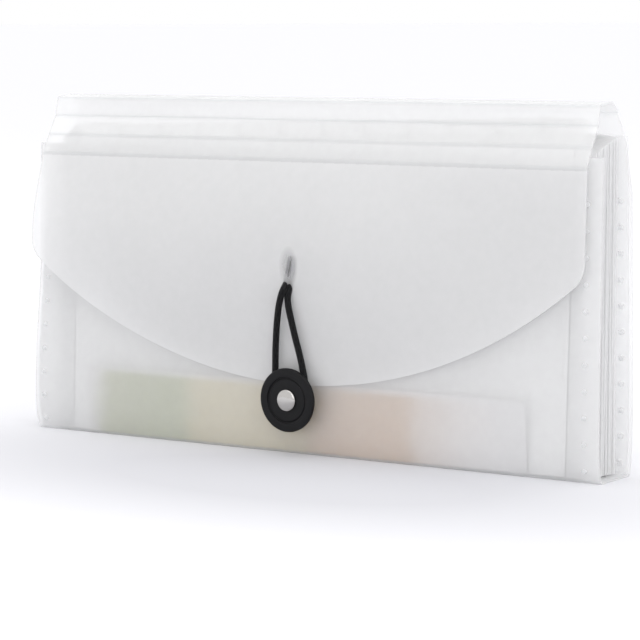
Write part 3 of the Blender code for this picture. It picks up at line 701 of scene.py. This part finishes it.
def make_flap():
    length = (FLAP_TIP - FLAP_TOP).length
    rows = crease_rows(0.0, 1, NECK) + rows_between(ROW_START, length, FLAP_ROW_STEP)
    slot = ring(*SLOT_HALF_SIZE, (FLAP_TOP.y - SLOT_Z) / (FLAP_TOP.y - FLAP_TIP.y) * length, 32)

    def away(s):
        return s

    panel("flap_cover", [flap_outline(-NECK, length), slot], rows, flap_place, away, NECK, "flap", "flap_panel",
          FLAP_SKIN, step=FLAP_COLUMN_STEP)


make_back_panel()
make_bottom_panel()
make_front_panel()
make_strips()
make_flap()


# Accordion
DIVIDERS = 12
DIVIDER_HALF_WIDTH = 0.11655
PITCH_FOOT = 0.0016
PITCH_TOP = 0.00108
INSIDE_BACK = 0.0104
DIVIDER_FOOT_Z = 0.0009
DIVIDER_TOP_Z = 0.1275
DIVIDER_DROP = 0.0005
TAB_WIDTH = 0.0205
TAB_HEIGHT = 0.0055
TAB_ROUND = 0.002
FOLD_OUT = 0.1255
FOLD_IN = 0.1170
FLANGE_OUT = 0.1318
FILM_HALF = 0.00012
FILM_SEAT = HALF_SHEET + 0.0003
FILM_STATIONS = 15
CORNER_DROP = 0.0012
DIVIDER_HALF_SHEET = 0.0002
DIVIDER_ROW_STEP = 0.009
DIVIDER_COLUMN_STEP = 0.0075
TAB_MARGIN = 0.001
# Folds: how far a bend stands off its divider, where it starts, and the widest half of a rounded fold
FOLD_GAP = 0.00022
FOLD_START = 0.0004
FOLD_ROUND = 0.00042
# The bend into a flange that is welded to the cover, and the front flange's top
FLANGE_BEND = 0.00028
FLANGE_RUN = 0.0005
FRONT_FLANGE_TOP = 0.1184
# The back pockets' folds swell outward, and each fold a little in its own way
BACK_SWELL = 0.0026
OWN_SWELL = 0.0002
# Where the last film ends, and how far off the back panel the first one starts; make_pleats works out these
# places but builds nothing from them
FRONT_END_Z = 0.115
FRONT_END_Y = -0.0089
BACK_START_GAP = 0.0006


def leaf_y(k, z):
    """Middle of divider k at a height."""
    foot = INSIDE_BACK - PITCH_FOOT * k
    top = INSIDE_BACK - PITCH_TOP * k
    return foot + (top - foot) * (z - DIVIDER_FOOT_Z) / (leaf_top(k) - DIVIDER_FOOT_Z)


def leaf_top(k):
    """Height of divider k under its tab."""
    return DIVIDER_TOP_Z - DIVIDER_DROP * k


def make_dividers():
    for k in range(1, DIVIDERS + 1):
        top = leaf_top(k)
        first = DIVIDER_HALF_WIDTH - TAB_MARGIN
        right = first - (2 * first - TAB_WIDTH) / (DIVIDERS - 1) * (k - 1)
        shoulder = top + TAB_HEIGHT - TAB_ROUND
        loop = [(-DIVIDER_HALF_WIDTH, DIVIDER_FOOT_Z), (DIVIDER_HALF_WIDTH, DIVIDER_FOOT_Z),
                (DIVIDER_HALF_WIDTH, top), (right, top)]
        loop += arc((right - TAB_ROUND, shoulder), TAB_ROUND, 0, 90, 7)
        loop += arc((right - TAB_WIDTH + TAB_ROUND, shoulder), TAB_ROUND, 90, 180, 7)
        loop += [(right - TAB_WIDTH, top), (-DIVIDER_HALF_WIDTH, top)]
        rows = rows_between(DIVIDER_FOOT_Z, top, DIVIDER_ROW_STEP)

        def surface(x, s, k=k):
            wave = 0.00018 * np.sin(x * 31 + k * 1.7) * np.sin(s * 19 + k)
            return np.stack([x, leaf_y(k, s) + wave, s], -1)

        def half(x, s):
            return np.full_like(x, DIVIDER_HALF_SHEET)

        piece = sheet(f"divider_sheet_{k:02d}", [loop], rows, surface, half,
                      [DIVIDER_SKIN, DIVIDER_EDGE], step=DIVIDER_COLUMN_STEP)
        stand(piece, f"leaf_{k:02d}", "divider_sheet", f"divider_{k:02d}")


def film_section(pocket, share):
    """The pleat's middle line round one pocket, at a share of its height, as (x, y, z) on the right side."""
    def z_of(top):
        return DIVIDER_FOOT_Z + (top - DIVIDER_FOOT_Z) * share

    back_top = leaf_top(pocket) if pocket else DIVIDER_TOP_Z
    front_top = leaf_top(pocket + 1)
    places = []

    def fold_out(y_from, y_to, z):
        middle = (y_from + y_to) / 2
        swell = BACK_SWELL * (1 - pocket / DIVIDERS) + OWN_SWELL * math.sin(2.3 * pocket + 5 * share)
        reach = min(abs(y_from - y_to) / 2, FOLD_ROUND)
        for turn in np.linspace(90, -90, 7):
            angle = math.radians(turn)
            places.append((FOLD_OUT + swell - reach * (1 - math.cos(angle)), middle + reach * math.sin(angle), z))

    if pocket == 0:
        z = z_of(DIVIDER_TOP_Z - CORNER_DROP)
        y = float(back_y(np.array(z))) - FILM_SEAT
        zf = z_of(front_top)
        places += [(x, y, z) for x in np.linspace(FLANGE_OUT, FOLD_OUT + FOLD_START, 5)]
        places += [(FOLD_OUT, y - FLANGE_BEND, z), (FOLD_OUT - FLANGE_RUN, y - FLANGE_RUN, z)]
        places += [(FOLD_IN + FOLD_START, leaf_y(1, zf) + FOLD_GAP, zf), (FOLD_IN, leaf_y(1, zf), zf)]
    elif pocket == DIVIDERS:
        z, zb = z_of(FRONT_FLANGE_TOP), z_of(back_top)
        y = float(front_y(FOLD_OUT, np.array(z))) + FILM_SEAT
        places += [(FOLD_IN, leaf_y(pocket, zb), zb), (FOLD_IN + FOLD_START, leaf_y(pocket, zb) - FOLD_GAP, zb)]
        places += [(FOLD_OUT - FLANGE_RUN, y + FLANGE_RUN, z), (FOLD_OUT, y + FLANGE_BEND, z)]
        places += [(x, y, z) for x in np.linspace(FOLD_OUT + FOLD_START, FLANGE_OUT, 5)]
    else:
        zb, zf = z_of(back_top), z_of(front_top)
        zo = z_of((back_top + front_top) / 2 - CORNER_DROP)
        y_back, y_front = leaf_y(pocket, zb), leaf_y(pocket + 1, zf)
        places += [(FOLD_IN, y_back, zb), (FOLD_IN + FOLD_START, y_back - FOLD_GAP, zb)]
        fold_out(y_back - FOLD_GAP, y_front + FOLD_GAP, zo)
        places += [(FOLD_IN + FOLD_START, y_front + FOLD_GAP, zf), (FOLD_IN, y_front, zf)]
    return places


def ribbon(name, rows, half, materials):
    """A closed film along a stack of sections."""
    bm = bmesh.new()
    grown = []
    for row in rows:
        line = np.array(row)
        run = np.gradient(line[:, :2], axis=0)
        side = np.stack([-run[:, 1], run[:, 0]], -1)
        side /= np.linalg.norm(side, axis=1)[:, None]
        off = np.concatenate([side * half, np.zeros((len(line), 1))], 1)
        grown.append([[bm.verts.new(p) for p in line + off], [bm.verts.new(p) for p in line - off]])
    last = len(rows[0]) - 1
    for low, high in zip(grown, grown[1:]):
        for n in range(last):
            bm.faces.new((low[0][n], low[0][n + 1], high[0][n + 1], high[0][n]))
            bm.faces.new((low[1][n + 1], low[1][n], high[1][n], high[1][n + 1]))
        for n in (0, last):
            bm.faces.new((low[0][n], high[0][n], high[1][n], low[1][n])).material_index = 1
    for row in (grown[0], grown[-1]):
        for n in range(last):
            bm.faces.new((row[0][n], row[0][n + 1], row[1][n + 1], row[1][n])).material_index = 1
    return made_mesh(name, bm, materials, 60)


def left_shift(x, z):
    """How far the front panel's left side stands off its right side, out on the flange."""
    if x < FOLD_OUT - 2 * FLANGE_RUN:
        return 0
    return float(front_y(-x, np.array(z)) - front_y(x, np.array(z)))


def make_pleats():
    """One film per pocket and side."""
    for side, word in ((1, "right"), (-1, "left")):
        for pocket in range(DIVIDERS + 1):
            last = pocket == DIVIDERS
            rows = []
            for share in np.linspace(0, 1, FILM_STATIONS):
                section = film_section(pocket, share)
                if side < 0 and last:
                    section = [(x, y + left_shift(x, z), z) for x, y, z in section]
                rows.append([(side * x, y, z) for x, y, z in section])
            films = [PLEAT_SKIN if pocket else PLEAT_WELDED, PLEAT_EDGE]
            piece = ribbon(f"{word}_pleat_{pocket:02d}", rows, FILM_HALF, films)
            top = FRONT_END_Z if last else leaf_top(pocket + 1)
            end_y = FRONT_END_Y if last else leaf_y(pocket + 1, top)
            start_y = leaf_y(pocket, top) if pocket else float(back_y(np.array(top))) - BACK_START_GAP
            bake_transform(piece)
            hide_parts(f"{word}_gusset")


make_dividers()
make_pleats()


# Weld spots along the cover's sides
WELD_FOOT = 0.0048
WELD_PITCH = 0.00974
WELD_RADIUS = 0.00105
WELD_RISE = 0.00024
WELD_COUNT = 11
WELD_X = 0.1284
FRONT_RIGHT_WELD_X = 0.1268
WELD_FILM = 0.00042
WELD_SINK = 0.00012


def add_dome(bm, centre, normal, radius, rise, rings=4, around=16):
    """A low closed dome, sunk a little under the face that it stands on."""
    normal = Vector(normal).normalized()
    first = normal.orthogonal().normalized()
    second = normal.cross(first)
    grown = []
    for step in range(rings):
        turn = math.pi / 2 * step / rings
        level = centre + normal * (rise * math.sin(turn))
        reach = radius * math.cos(turn)
        grown.append([bm.verts.new(level + (first * math.cos(a) + second * math.sin(a)) * reach)
                      for a in turns(around)])
    grown.insert(0, [bm.verts.new(v.co - normal * WELD_SINK) for v in grown[0]])
    for low, high in zip(grown, grown[1:]):
        for n in range(around):
            bm.faces.new((low[n], low[(n + 1) % around], high[(n + 1) % around], high[n]))
    tip = bm.verts.new(centre + normal * rise)
    for n in range(around):
        bm.faces.new((grown[-1][n], grown[-1][(n + 1) % around], tip))
    bm.faces.new(list(reversed(grown[0])))


def make_welds():
    back = bmesh.new()
    front = bmesh.new()
    for side in (-1, 1):
        for n in range(WELD_COUNT):
            z = WELD_FOOT + WELD_PITCH * n
            y = float(back_y(np.array(z)))
            x = side * WELD_X
            add_dome(back, Vector((x, y - HALF_SHEET - WELD_FILM, z)), (0, -1, 0), WELD_RADIUS, WELD_RISE)
            add_dome(back, Vector((x, y + HALF_SHEET, z)), (0, 1, 0), WELD_RADIUS, WELD_RISE * 0.6)
            x = FRONT_RIGHT_WELD_X if side > 0 else -WELD_X
            y = float(front_y(x, np.array(z)))
            add_dome(front, Vector((x, y - HALF_SHEET, z)), (0, -1, 0), WELD_RADIUS * 0.9, WELD_RISE * 0.7)
    stand(made_mesh("back_weld_spots", back, [WELD], 80), "housing", "cover_sheet")
    stand(made_mesh("front_weld_spots", front, [WELD], 80), "front", "cover_sheet")


make_welds()


# Coloured card in the front pocket
CARD_LEFT = -0.107
CARD_RIGHT = 0.101
CARD_TOP = 0.0281
CARD_HALF_SHEET = 0.00012
CARD_FOOT_Y = -0.00975
CARD_LEAN = 0.0014 / 0.0272
CARD_CURL = 0.0003
CARD_COLUMN_REACH = 0.104
CARD_BLANK = (0.80, 0.79, 0.80)
# The print fades out toward the top and both ends, over these distances from each edge
TOP_FADE = 0.003
RIGHT_FADE = (0.042, 0.010)
LEFT_FADE = (0.001, 0.010)
# The print's colours, by x
CARD_TONES = (
    (-0.107, (0.43, 0.45, 0.25)),
    (-0.060, (0.36, 0.40, 0.16)),
    (-0.047, (0.60, 0.52, 0.26)),
    (-0.002, (0.63, 0.52, 0.24)),
    (0.012, (0.55, 0.32, 0.13)),
    (0.045, (0.57, 0.34, 0.15)),
    (0.058, (0.73, 0.63, 0.57)),
    (0.101, (0.95, 0.92, 0.93)),
)


def card_material():
    """Soft blocks of colour on plain card."""
    material = bpy.data.materials.new("soft_coloured_card")
    tree = Tree(material)
    place = tree.place()
    axes = tree.add("ShaderNodeSeparateXYZ", {0: place})
    cloud = tree.noise(place, 45.0, 3.0)
    shift = tree.math("ADD", axes.outputs["X"], tree.spread(cloud, -0.004, 0.004, *USED))
    share = tree.spread(shift, 0, 1, CARD_LEFT, CARD_RIGHT)
    ramp = tree.add("ShaderNodeValToRGB", {"Fac": share})
    ramp.color_ramp.interpolation = "EASE"
    while len(ramp.color_ramp.elements) < len(CARD_TONES):
        ramp.color_ramp.elements.new(0.5)
    for element, (x, tone) in zip(ramp.color_ramp.elements, CARD_TONES):
        element.position = (x - CARD_LEFT) / (CARD_RIGHT - CARD_LEFT)
        element.color = (*tone, 1)
    top = tree.spread(axes.outputs["Z"], 1.0, 0.0, CARD_TOP - TOP_FADE, CARD_TOP)
    end = tree.spread(shift, 1.0, 0.0, *(CARD_RIGHT - inset for inset in RIGHT_FADE))
    start = tree.spread(shift, 0.0, 1.0, *(CARD_LEFT + inset for inset in LEFT_FADE))
    inked = tree.math("MULTIPLY", top, tree.math("MULTIPLY", start, end))
    fibre = tree.noise(place, 900.0, 4.0)
    tree.finish(tree.add("ShaderNodeBsdfPrincipled", {
        "Base Color": tree.tint(inked, CARD_BLANK, ramp.outputs["Color"]),
        "Roughness": tree.spread(fibre, 0.75, 0.9),
        "Specular IOR Level": 0.3, "Normal": tree.bump(fibre, 0.2, 0.00005)}))
    return material


def make_card():
    loop = [(CARD_LEFT, DIVIDER_FOOT_Z), (CARD_RIGHT, DIVIDER_FOOT_Z),
            (CARD_RIGHT, CARD_TOP), (CARD_LEFT, CARD_TOP)]

    def surface(x, s):
        curl = CARD_CURL * np.sin(x * 40) * (s / 0.028)
        return np.stack([x, CARD_FOOT_Y - CARD_LEAN * (s - DIVIDER_FOOT_Z) + curl, s], -1)

    def half(x, s):
        return np.full_like(x, CARD_HALF_SHEET)

    piece = sheet("pocket_card", [loop], rows_between(DIVIDER_FOOT_Z, CARD_TOP, 0.003), surface, half,
                  [card_material()], reach=CARD_COLUMN_REACH)
    for polygon in piece.data.polygons:
        polygon.material_index = 0
    stand(piece, "front", "card_stock", "label_card")


make_card()


# Closure: disc, rivet, washer, crimp and elastic loop
DISC_FRONT = -0.021333
DISC_BACK = -0.019633
HUB_BACK = -0.014833
DISC_RADIUS = 0.0125


def lathe(name, profile, around, materials, closed=True, angle=50):
    """Turn (radius, y) points about the button's axis."""
    bm = bmesh.new()
    rings = []
    for radius, y in profile:
        if radius < 1e-7:
            rings.append([bm.verts.new((0, y, BUTTON_Z))])
            continue
        rings.append([bm.verts.new((radius * math.cos(a), y, BUTTON_Z + radius * math.sin(a)))
                      for a in turns(around)])
    pairs = list(zip(rings, rings[1:]))
    if closed:
        pairs.append((rings[-1], rings[0]))
    for near, far in pairs:
        for n in range(around):
            after = (n + 1) % around
            corners = [near[n % len(near)], near[after % len(near)], far[after % len(far)], far[n % len(far)]]
            bm.faces.new(list(dict.fromkeys(corners)))
    return made_mesh(name, bm, materials, angle)


def black_plastic():
    material = bpy.data.materials.new("black_moulded_plastic")
    tree = Tree(material)
    fine = tree.noise(tree.place(), 1400.0, 3.0)
    broad = tree.noise(tree.place(), 160.0)
    tree.finish(tree.add("ShaderNodeBsdfPrincipled", {
        "Base Color": tree.tint(broad, (0.005, 0.005, 0.006), (0.008, 0.008, 0.009)),
        "Roughness": tree.spread(broad, 0.34, 0.5, *USED),
        "Specular IOR Level": 0.2, "Normal": tree.bump(fine, 0.12, 0.00004)}))
    return material


def bright_metal(name, tone, rough, grain):
    """Plated metal with soft clouds and a fine grain."""
    material = bpy.data.materials.new(name)
    tree = Tree(material)
    broad = tree.noise(tree.place(), 420.0, 3.0)
    fine = tree.noise(tree.place(), 2600.0)
    tree.finish(tree.add("ShaderNodeBsdfPrincipled", {
        "Base Color": tree.tint(broad, tuple(0.86 * part for part in tone), tone),
        "Metallic": 1.0,
        "Roughness": tree.spread(broad, rough * 0.75, rough * 1.3, *USED),
        "Normal": tree.bump(fine, grain, 0.00003)}))
    return material


RIVET_METAL = bright_metal("polished_rivet", (0.58, 0.565, 0.55), 0.12, 0.12)
CRIMP_METAL = bright_metal("crimp_tube", (0.20, 0.20, 0.215), 0.18, 0.08)


def make_disc():
    """The disc's section from its bore: dished face, ring groove, rim, back and hub."""
    front = DISC_FRONT
    dish = front + 0.0003
    profile = [(0.0024, dish + 0.0001), (0.0046, dish), (0.0060, dish), (0.0079, dish + 0.00004)]
    profile += arc((0.00815, dish + 0.00019), 0.00015, -90, -10, 4)
    profile += [(0.00836, front + 0.00058), (0.00848, front + 0.00066), (0.0087, front + 0.0007)]
    profile += [(0.00892, front + 0.00066), (0.00904, front + 0.00058)]
    profile += arc((0.00925, front + 0.00016), 0.00016, 190, 270, 4)
    profile += [(0.0104, front + 0.00001), (0.0116, front + 0.00005)]
    profile += arc((DISC_RADIUS - 0.00055, front + 0.00062), 0.00055, -88, 0, 7)
    profile += [(DISC_RADIUS + 0.00004, (DISC_FRONT + DISC_BACK) / 2)]
    profile += arc((DISC_RADIUS - 0.00045, DISC_BACK - 0.00045), 0.00045, 0, 90, 5)
    profile += [(0.0085, DISC_BACK + 0.00001), (0.0064, DISC_BACK)]
    profile += arc((0.0064, DISC_BACK + 0.0009), 0.0009, -90, -180, 5)
    profile += [(0.0055, HUB_BACK - 0.0004)]
    profile += arc((0.0051, HUB_BACK - 0.0004), 0.0004, 0, 90, 4)
    profile += [(0.0024, HUB_BACK)]
    piece = lathe("closure_disc", profile, 96, [black_plastic()], angle=62)
    stand(piece, "button", "button_plastic", "button_disc")


def make_rivet():
    """The rivet's section from the head's crown: dome, shank and tail."""
    seat = DISC_FRONT + 0.00002
    rise = 0.00132
    profile = [(0, seat - rise)]
    for turn in np.linspace(0, 90, 15)[1:]:
        angle = math.radians(turn)
        profile.append((0.0043 * math.sin(angle) ** 0.92, seat - rise * math.cos(angle) ** 0.9))
    profile += [(0.0042, seat + 0.00016), (0.0038, seat + 0.00024), (0.0021, seat + 0.00024)]
    profile += [(0.0020, seat + 0.0004), (0.0020, -0.01336), (0.0026, -0.01332)]
    profile += arc((0.0029, -0.01302), 0.0003, -90, 60, 5)
    profile += [(0.0024, -0.01266), (0.0016, -0.01272), (0, -0.01275)]
    piece = lathe("closure_rivet", profile, 64, [RIVET_METAL], closed=False)
    stand(piece, "front", "rivet_metal", "button_rivet")


def make_washer():
    near, far = (corner.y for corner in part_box("rivet_washer"))
    profile = arc((0.0049, near + 0.0001), 0.0001, -90, 0, 3)
    profile += arc((0.0049, far - 0.0001), 0.0001, 0, 90, 3) + [(0.0023, far), (0.0023, near)]
    stand(lathe("backing_washer", profile, 48, [RIVET_METAL]), "front", "rivet_metal", "rivet_washer")


make_disc()
make_rivet()
make_washer()


# The elastic, in millimetres, from its end in the crimp through the slot, round the hub and back
LOOP_ROUTE = [Vector(point) * MM for point in (
    (0.85, -18.75, 76.8), (0.08, -18.75, 73.6), (-0.57, -18.75, 70.9), (-0.80, -19.05, 68.8),
    (-0.50, -20.45, 67.2), (-0.05, -22.35, 66.0), (-0.45, -23.35, 63.8), (-1.95, -22.95, 59.4),
    (-3.75, -21.60, 53.6), (-5.45, -20.05, 46.6), (-6.55, -18.95, 40.6), (-7.20, -18.20, 35.4),
    (-7.45, -17.95, 30.2), (-7.10, -17.85, 24.0), (-6.40, -17.80, 19.6), (-4.30, -17.75, 16.9),
    (-1.50, -17.75, 15.6), (1.50, -17.75, 15.6), (4.30, -17.75, 16.9), (6.40, -17.80, 19.6),
    (7.05, -17.85, 24.0), (6.45, -17.95, 30.2), (5.55, -18.20, 35.4), (4.75, -18.95, 40.6),
    (3.75, -20.05, 46.6), (2.75, -21.35, 53.6), (1.75, -21.80, 59.0), (1.20, -21.55, 62.6),
    (1.38, -21.05, 64.9), (1.60, -19.95, 66.8), (1.40, -19.00, 68.8), (1.19, -18.75, 70.9),
    (1.84, -18.75, 73.6), (2.61, -18.75, 76.8))]
CORD_RADIUS = 0.0013
CORD_PINCHED = 0.00084
CORD_PINCH_START = 0.0686
CORD_PINCH_RUN = 0.0026
BRAID_PITCH = 0.0011
BRAID_STRANDS = 7.0
# The crimp: sideways shift per height, how far it reaches down over the cord, its half width and depth, its wall,
# how far its rolled edges turn, where they start to curl in, and its mouth's shape by height
CRIMP_LEAN = 0.24
CRIMP_SKIRT = 0.0012
CRIMP_HALF_SIZE = (0.00200, 0.00122)
CRIMP_HALF_WALL = 0.00016
CRIMP_TURN = 168
CRIMP_CURL_START = 128
CRIMP_CURL = 0.30
CRIMP_MOUTHS = (
    (0, 0.96), (0.04, 1.0), (0.3, 1.0), (0.55, 0.98), (0.62, 0.95), (0.7, 0.98), (0.95, 1.0), (1, 0.96))


def smooth_route(points, parts):
    """A fine smooth curve through the points."""
    knots = [points[0] * 2 - points[1]] + points + [points[-1] * 2 - points[-2]]
    fine = []
    for a, b, c, d in zip(knots, knots[1:], knots[2:], knots[3:]):
        for part in range(parts):
            t = part / parts
            fine.append((b * 2 + (c - a) * t + (a * 2 - b * 5 + c * 4 - d) * t ** 2
                         + (b * 3 - a - c * 3 + d) * t ** 3) * 0.5)
    return fine + [knots[-2]]


def elastic_material():
    """Braided elastic: two sets of strands cross along the cord. U runs round it and V along it."""
    material = bpy.data.materials.new("black_braided_elastic")
    tree = Tree(material)
    uv = tree.add("ShaderNodeTexCoord").outputs["UV"]
    axes = tree.add("ShaderNodeSeparateXYZ", {0: uv})
    strands = []
    for way in (1, -1):
        run = tree.math("MULTIPLY", axes.outputs["X"], BRAID_STRANDS * way)
        turn = tree.math("MULTIPLY", tree.math("ADD", run, axes.outputs["Y"]), 2 * math.pi)
        strands.append(tree.math("SINE", turn, 0.0))
    fuzz = tree.noise(tree.place(), 5200.0)
    height = tree.math("ADD", tree.math("MAXIMUM", *strands), tree.math("MULTIPLY", fuzz, 0.6))
    # Painted shade: the braid is darker in the valleys between its strands, and the fuzz adds tone that differs
    # at random
    tone = tree.tint(tree.spread(height, 0, 1, -0.6, 1.4), (0.002, 0.002, 0.0025), (0.010, 0.010, 0.011))
    tree.finish(tree.add("ShaderNodeBsdfPrincipled", {
        "Base Color": tone, "Roughness": tree.spread(fuzz, 0.7, 0.9, *USED),
        "Specular IOR Level": 0.2, "Sheen Weight": 0.06, "Sheen Roughness": 0.5,
        "Normal": tree.bump(height, 0.7, 0.00009)}))
    return material


def cord_radius(place):
    """The cord is squeezed thinner inside its crimp."""
    return CORD_RADIUS + (CORD_PINCHED - CORD_RADIUS) * float(ease((place.z - CORD_PINCH_START) / CORD_PINCH_RUN))


def tube(name, line, around, materials):
    """A closed round tube along the cord's line, with U round it and V along it."""
    bm = bmesh.new()
    layer = bm.loops.layers.uv.new("UVMap")
    side = Vector((0, 1, 0))
    rings = []
    walked = [0.0]
    for n, place in enumerate(line):
        run = (line[min(n + 1, len(line) - 1)] - line[max(n - 1, 0)]).normalized()
        side = (side - run * side.dot(run)).normalized()
        other = run.cross(side)
        rings.append([bm.verts.new(place + (side * math.cos(a) + other * math.sin(a)) * cord_radius(place))
                      for a in turns(around)])
        if n:
            walked.append(walked[-1] + (place - line[n - 1]).length / (4 * BRAID_PITCH))
    for n in range(len(rings) - 1):
        for m in range(around):
            after = (m + 1) % around
            face = bm.faces.new((rings[n][m], rings[n][after], rings[n + 1][after], rings[n + 1][m]))
            marks = ((m, n), (m + 1, n), (m + 1, n + 1), (m, n + 1))
            for loop, (u, v) in zip(face.loops, marks):
                loop[layer].uv = (u / around, walked[v])
    bm.faces.new(list(reversed(rings[0])))
    bm.faces.new(rings[-1])
    return made_mesh(name, bm, materials, 70)


def make_loop():
    line = smooth_route(LOOP_ROUTE, 10)
    piece = tube("elastic_cord", line, 20, [elastic_material()])
    stand(piece, "flap", "elastic_cord", "elastic_loop")


def make_crimp():
    """A rolled metal tube, pinched flat round the cord's two ends, with its seam on the front."""
    low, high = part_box("cord_ferrule")
    middle = (low + high) / 2
    foot = low.z - CRIMP_SKIRT
    wide, deep = CRIMP_HALF_SIZE
    rows = []
    for share, mouth in CRIMP_MOUTHS:
        z = foot + (high.z - foot) * share
        row = []
        for turn in np.linspace(-CRIMP_TURN, CRIMP_TURN, 49):
            a = math.radians(turn)
            curl = 1 - CRIMP_CURL * float(ease((abs(turn) - CRIMP_CURL_START) / (CRIMP_TURN - CRIMP_CURL_START)))
            x = middle.x + wide * mouth * math.sin(a) + CRIMP_LEAN * (z - foot)
            y = middle.y + deep * mouth * math.cos(a) * curl
            row.append((x, y, z))
        rows.append(row)
    piece = ribbon("cord_crimp", rows, CRIMP_HALF_WALL, [CRIMP_METAL, CRIMP_METAL])
    stand(piece, "flap", "crimp_metal", "cord_ferrule")


make_loop()
make_crimp()
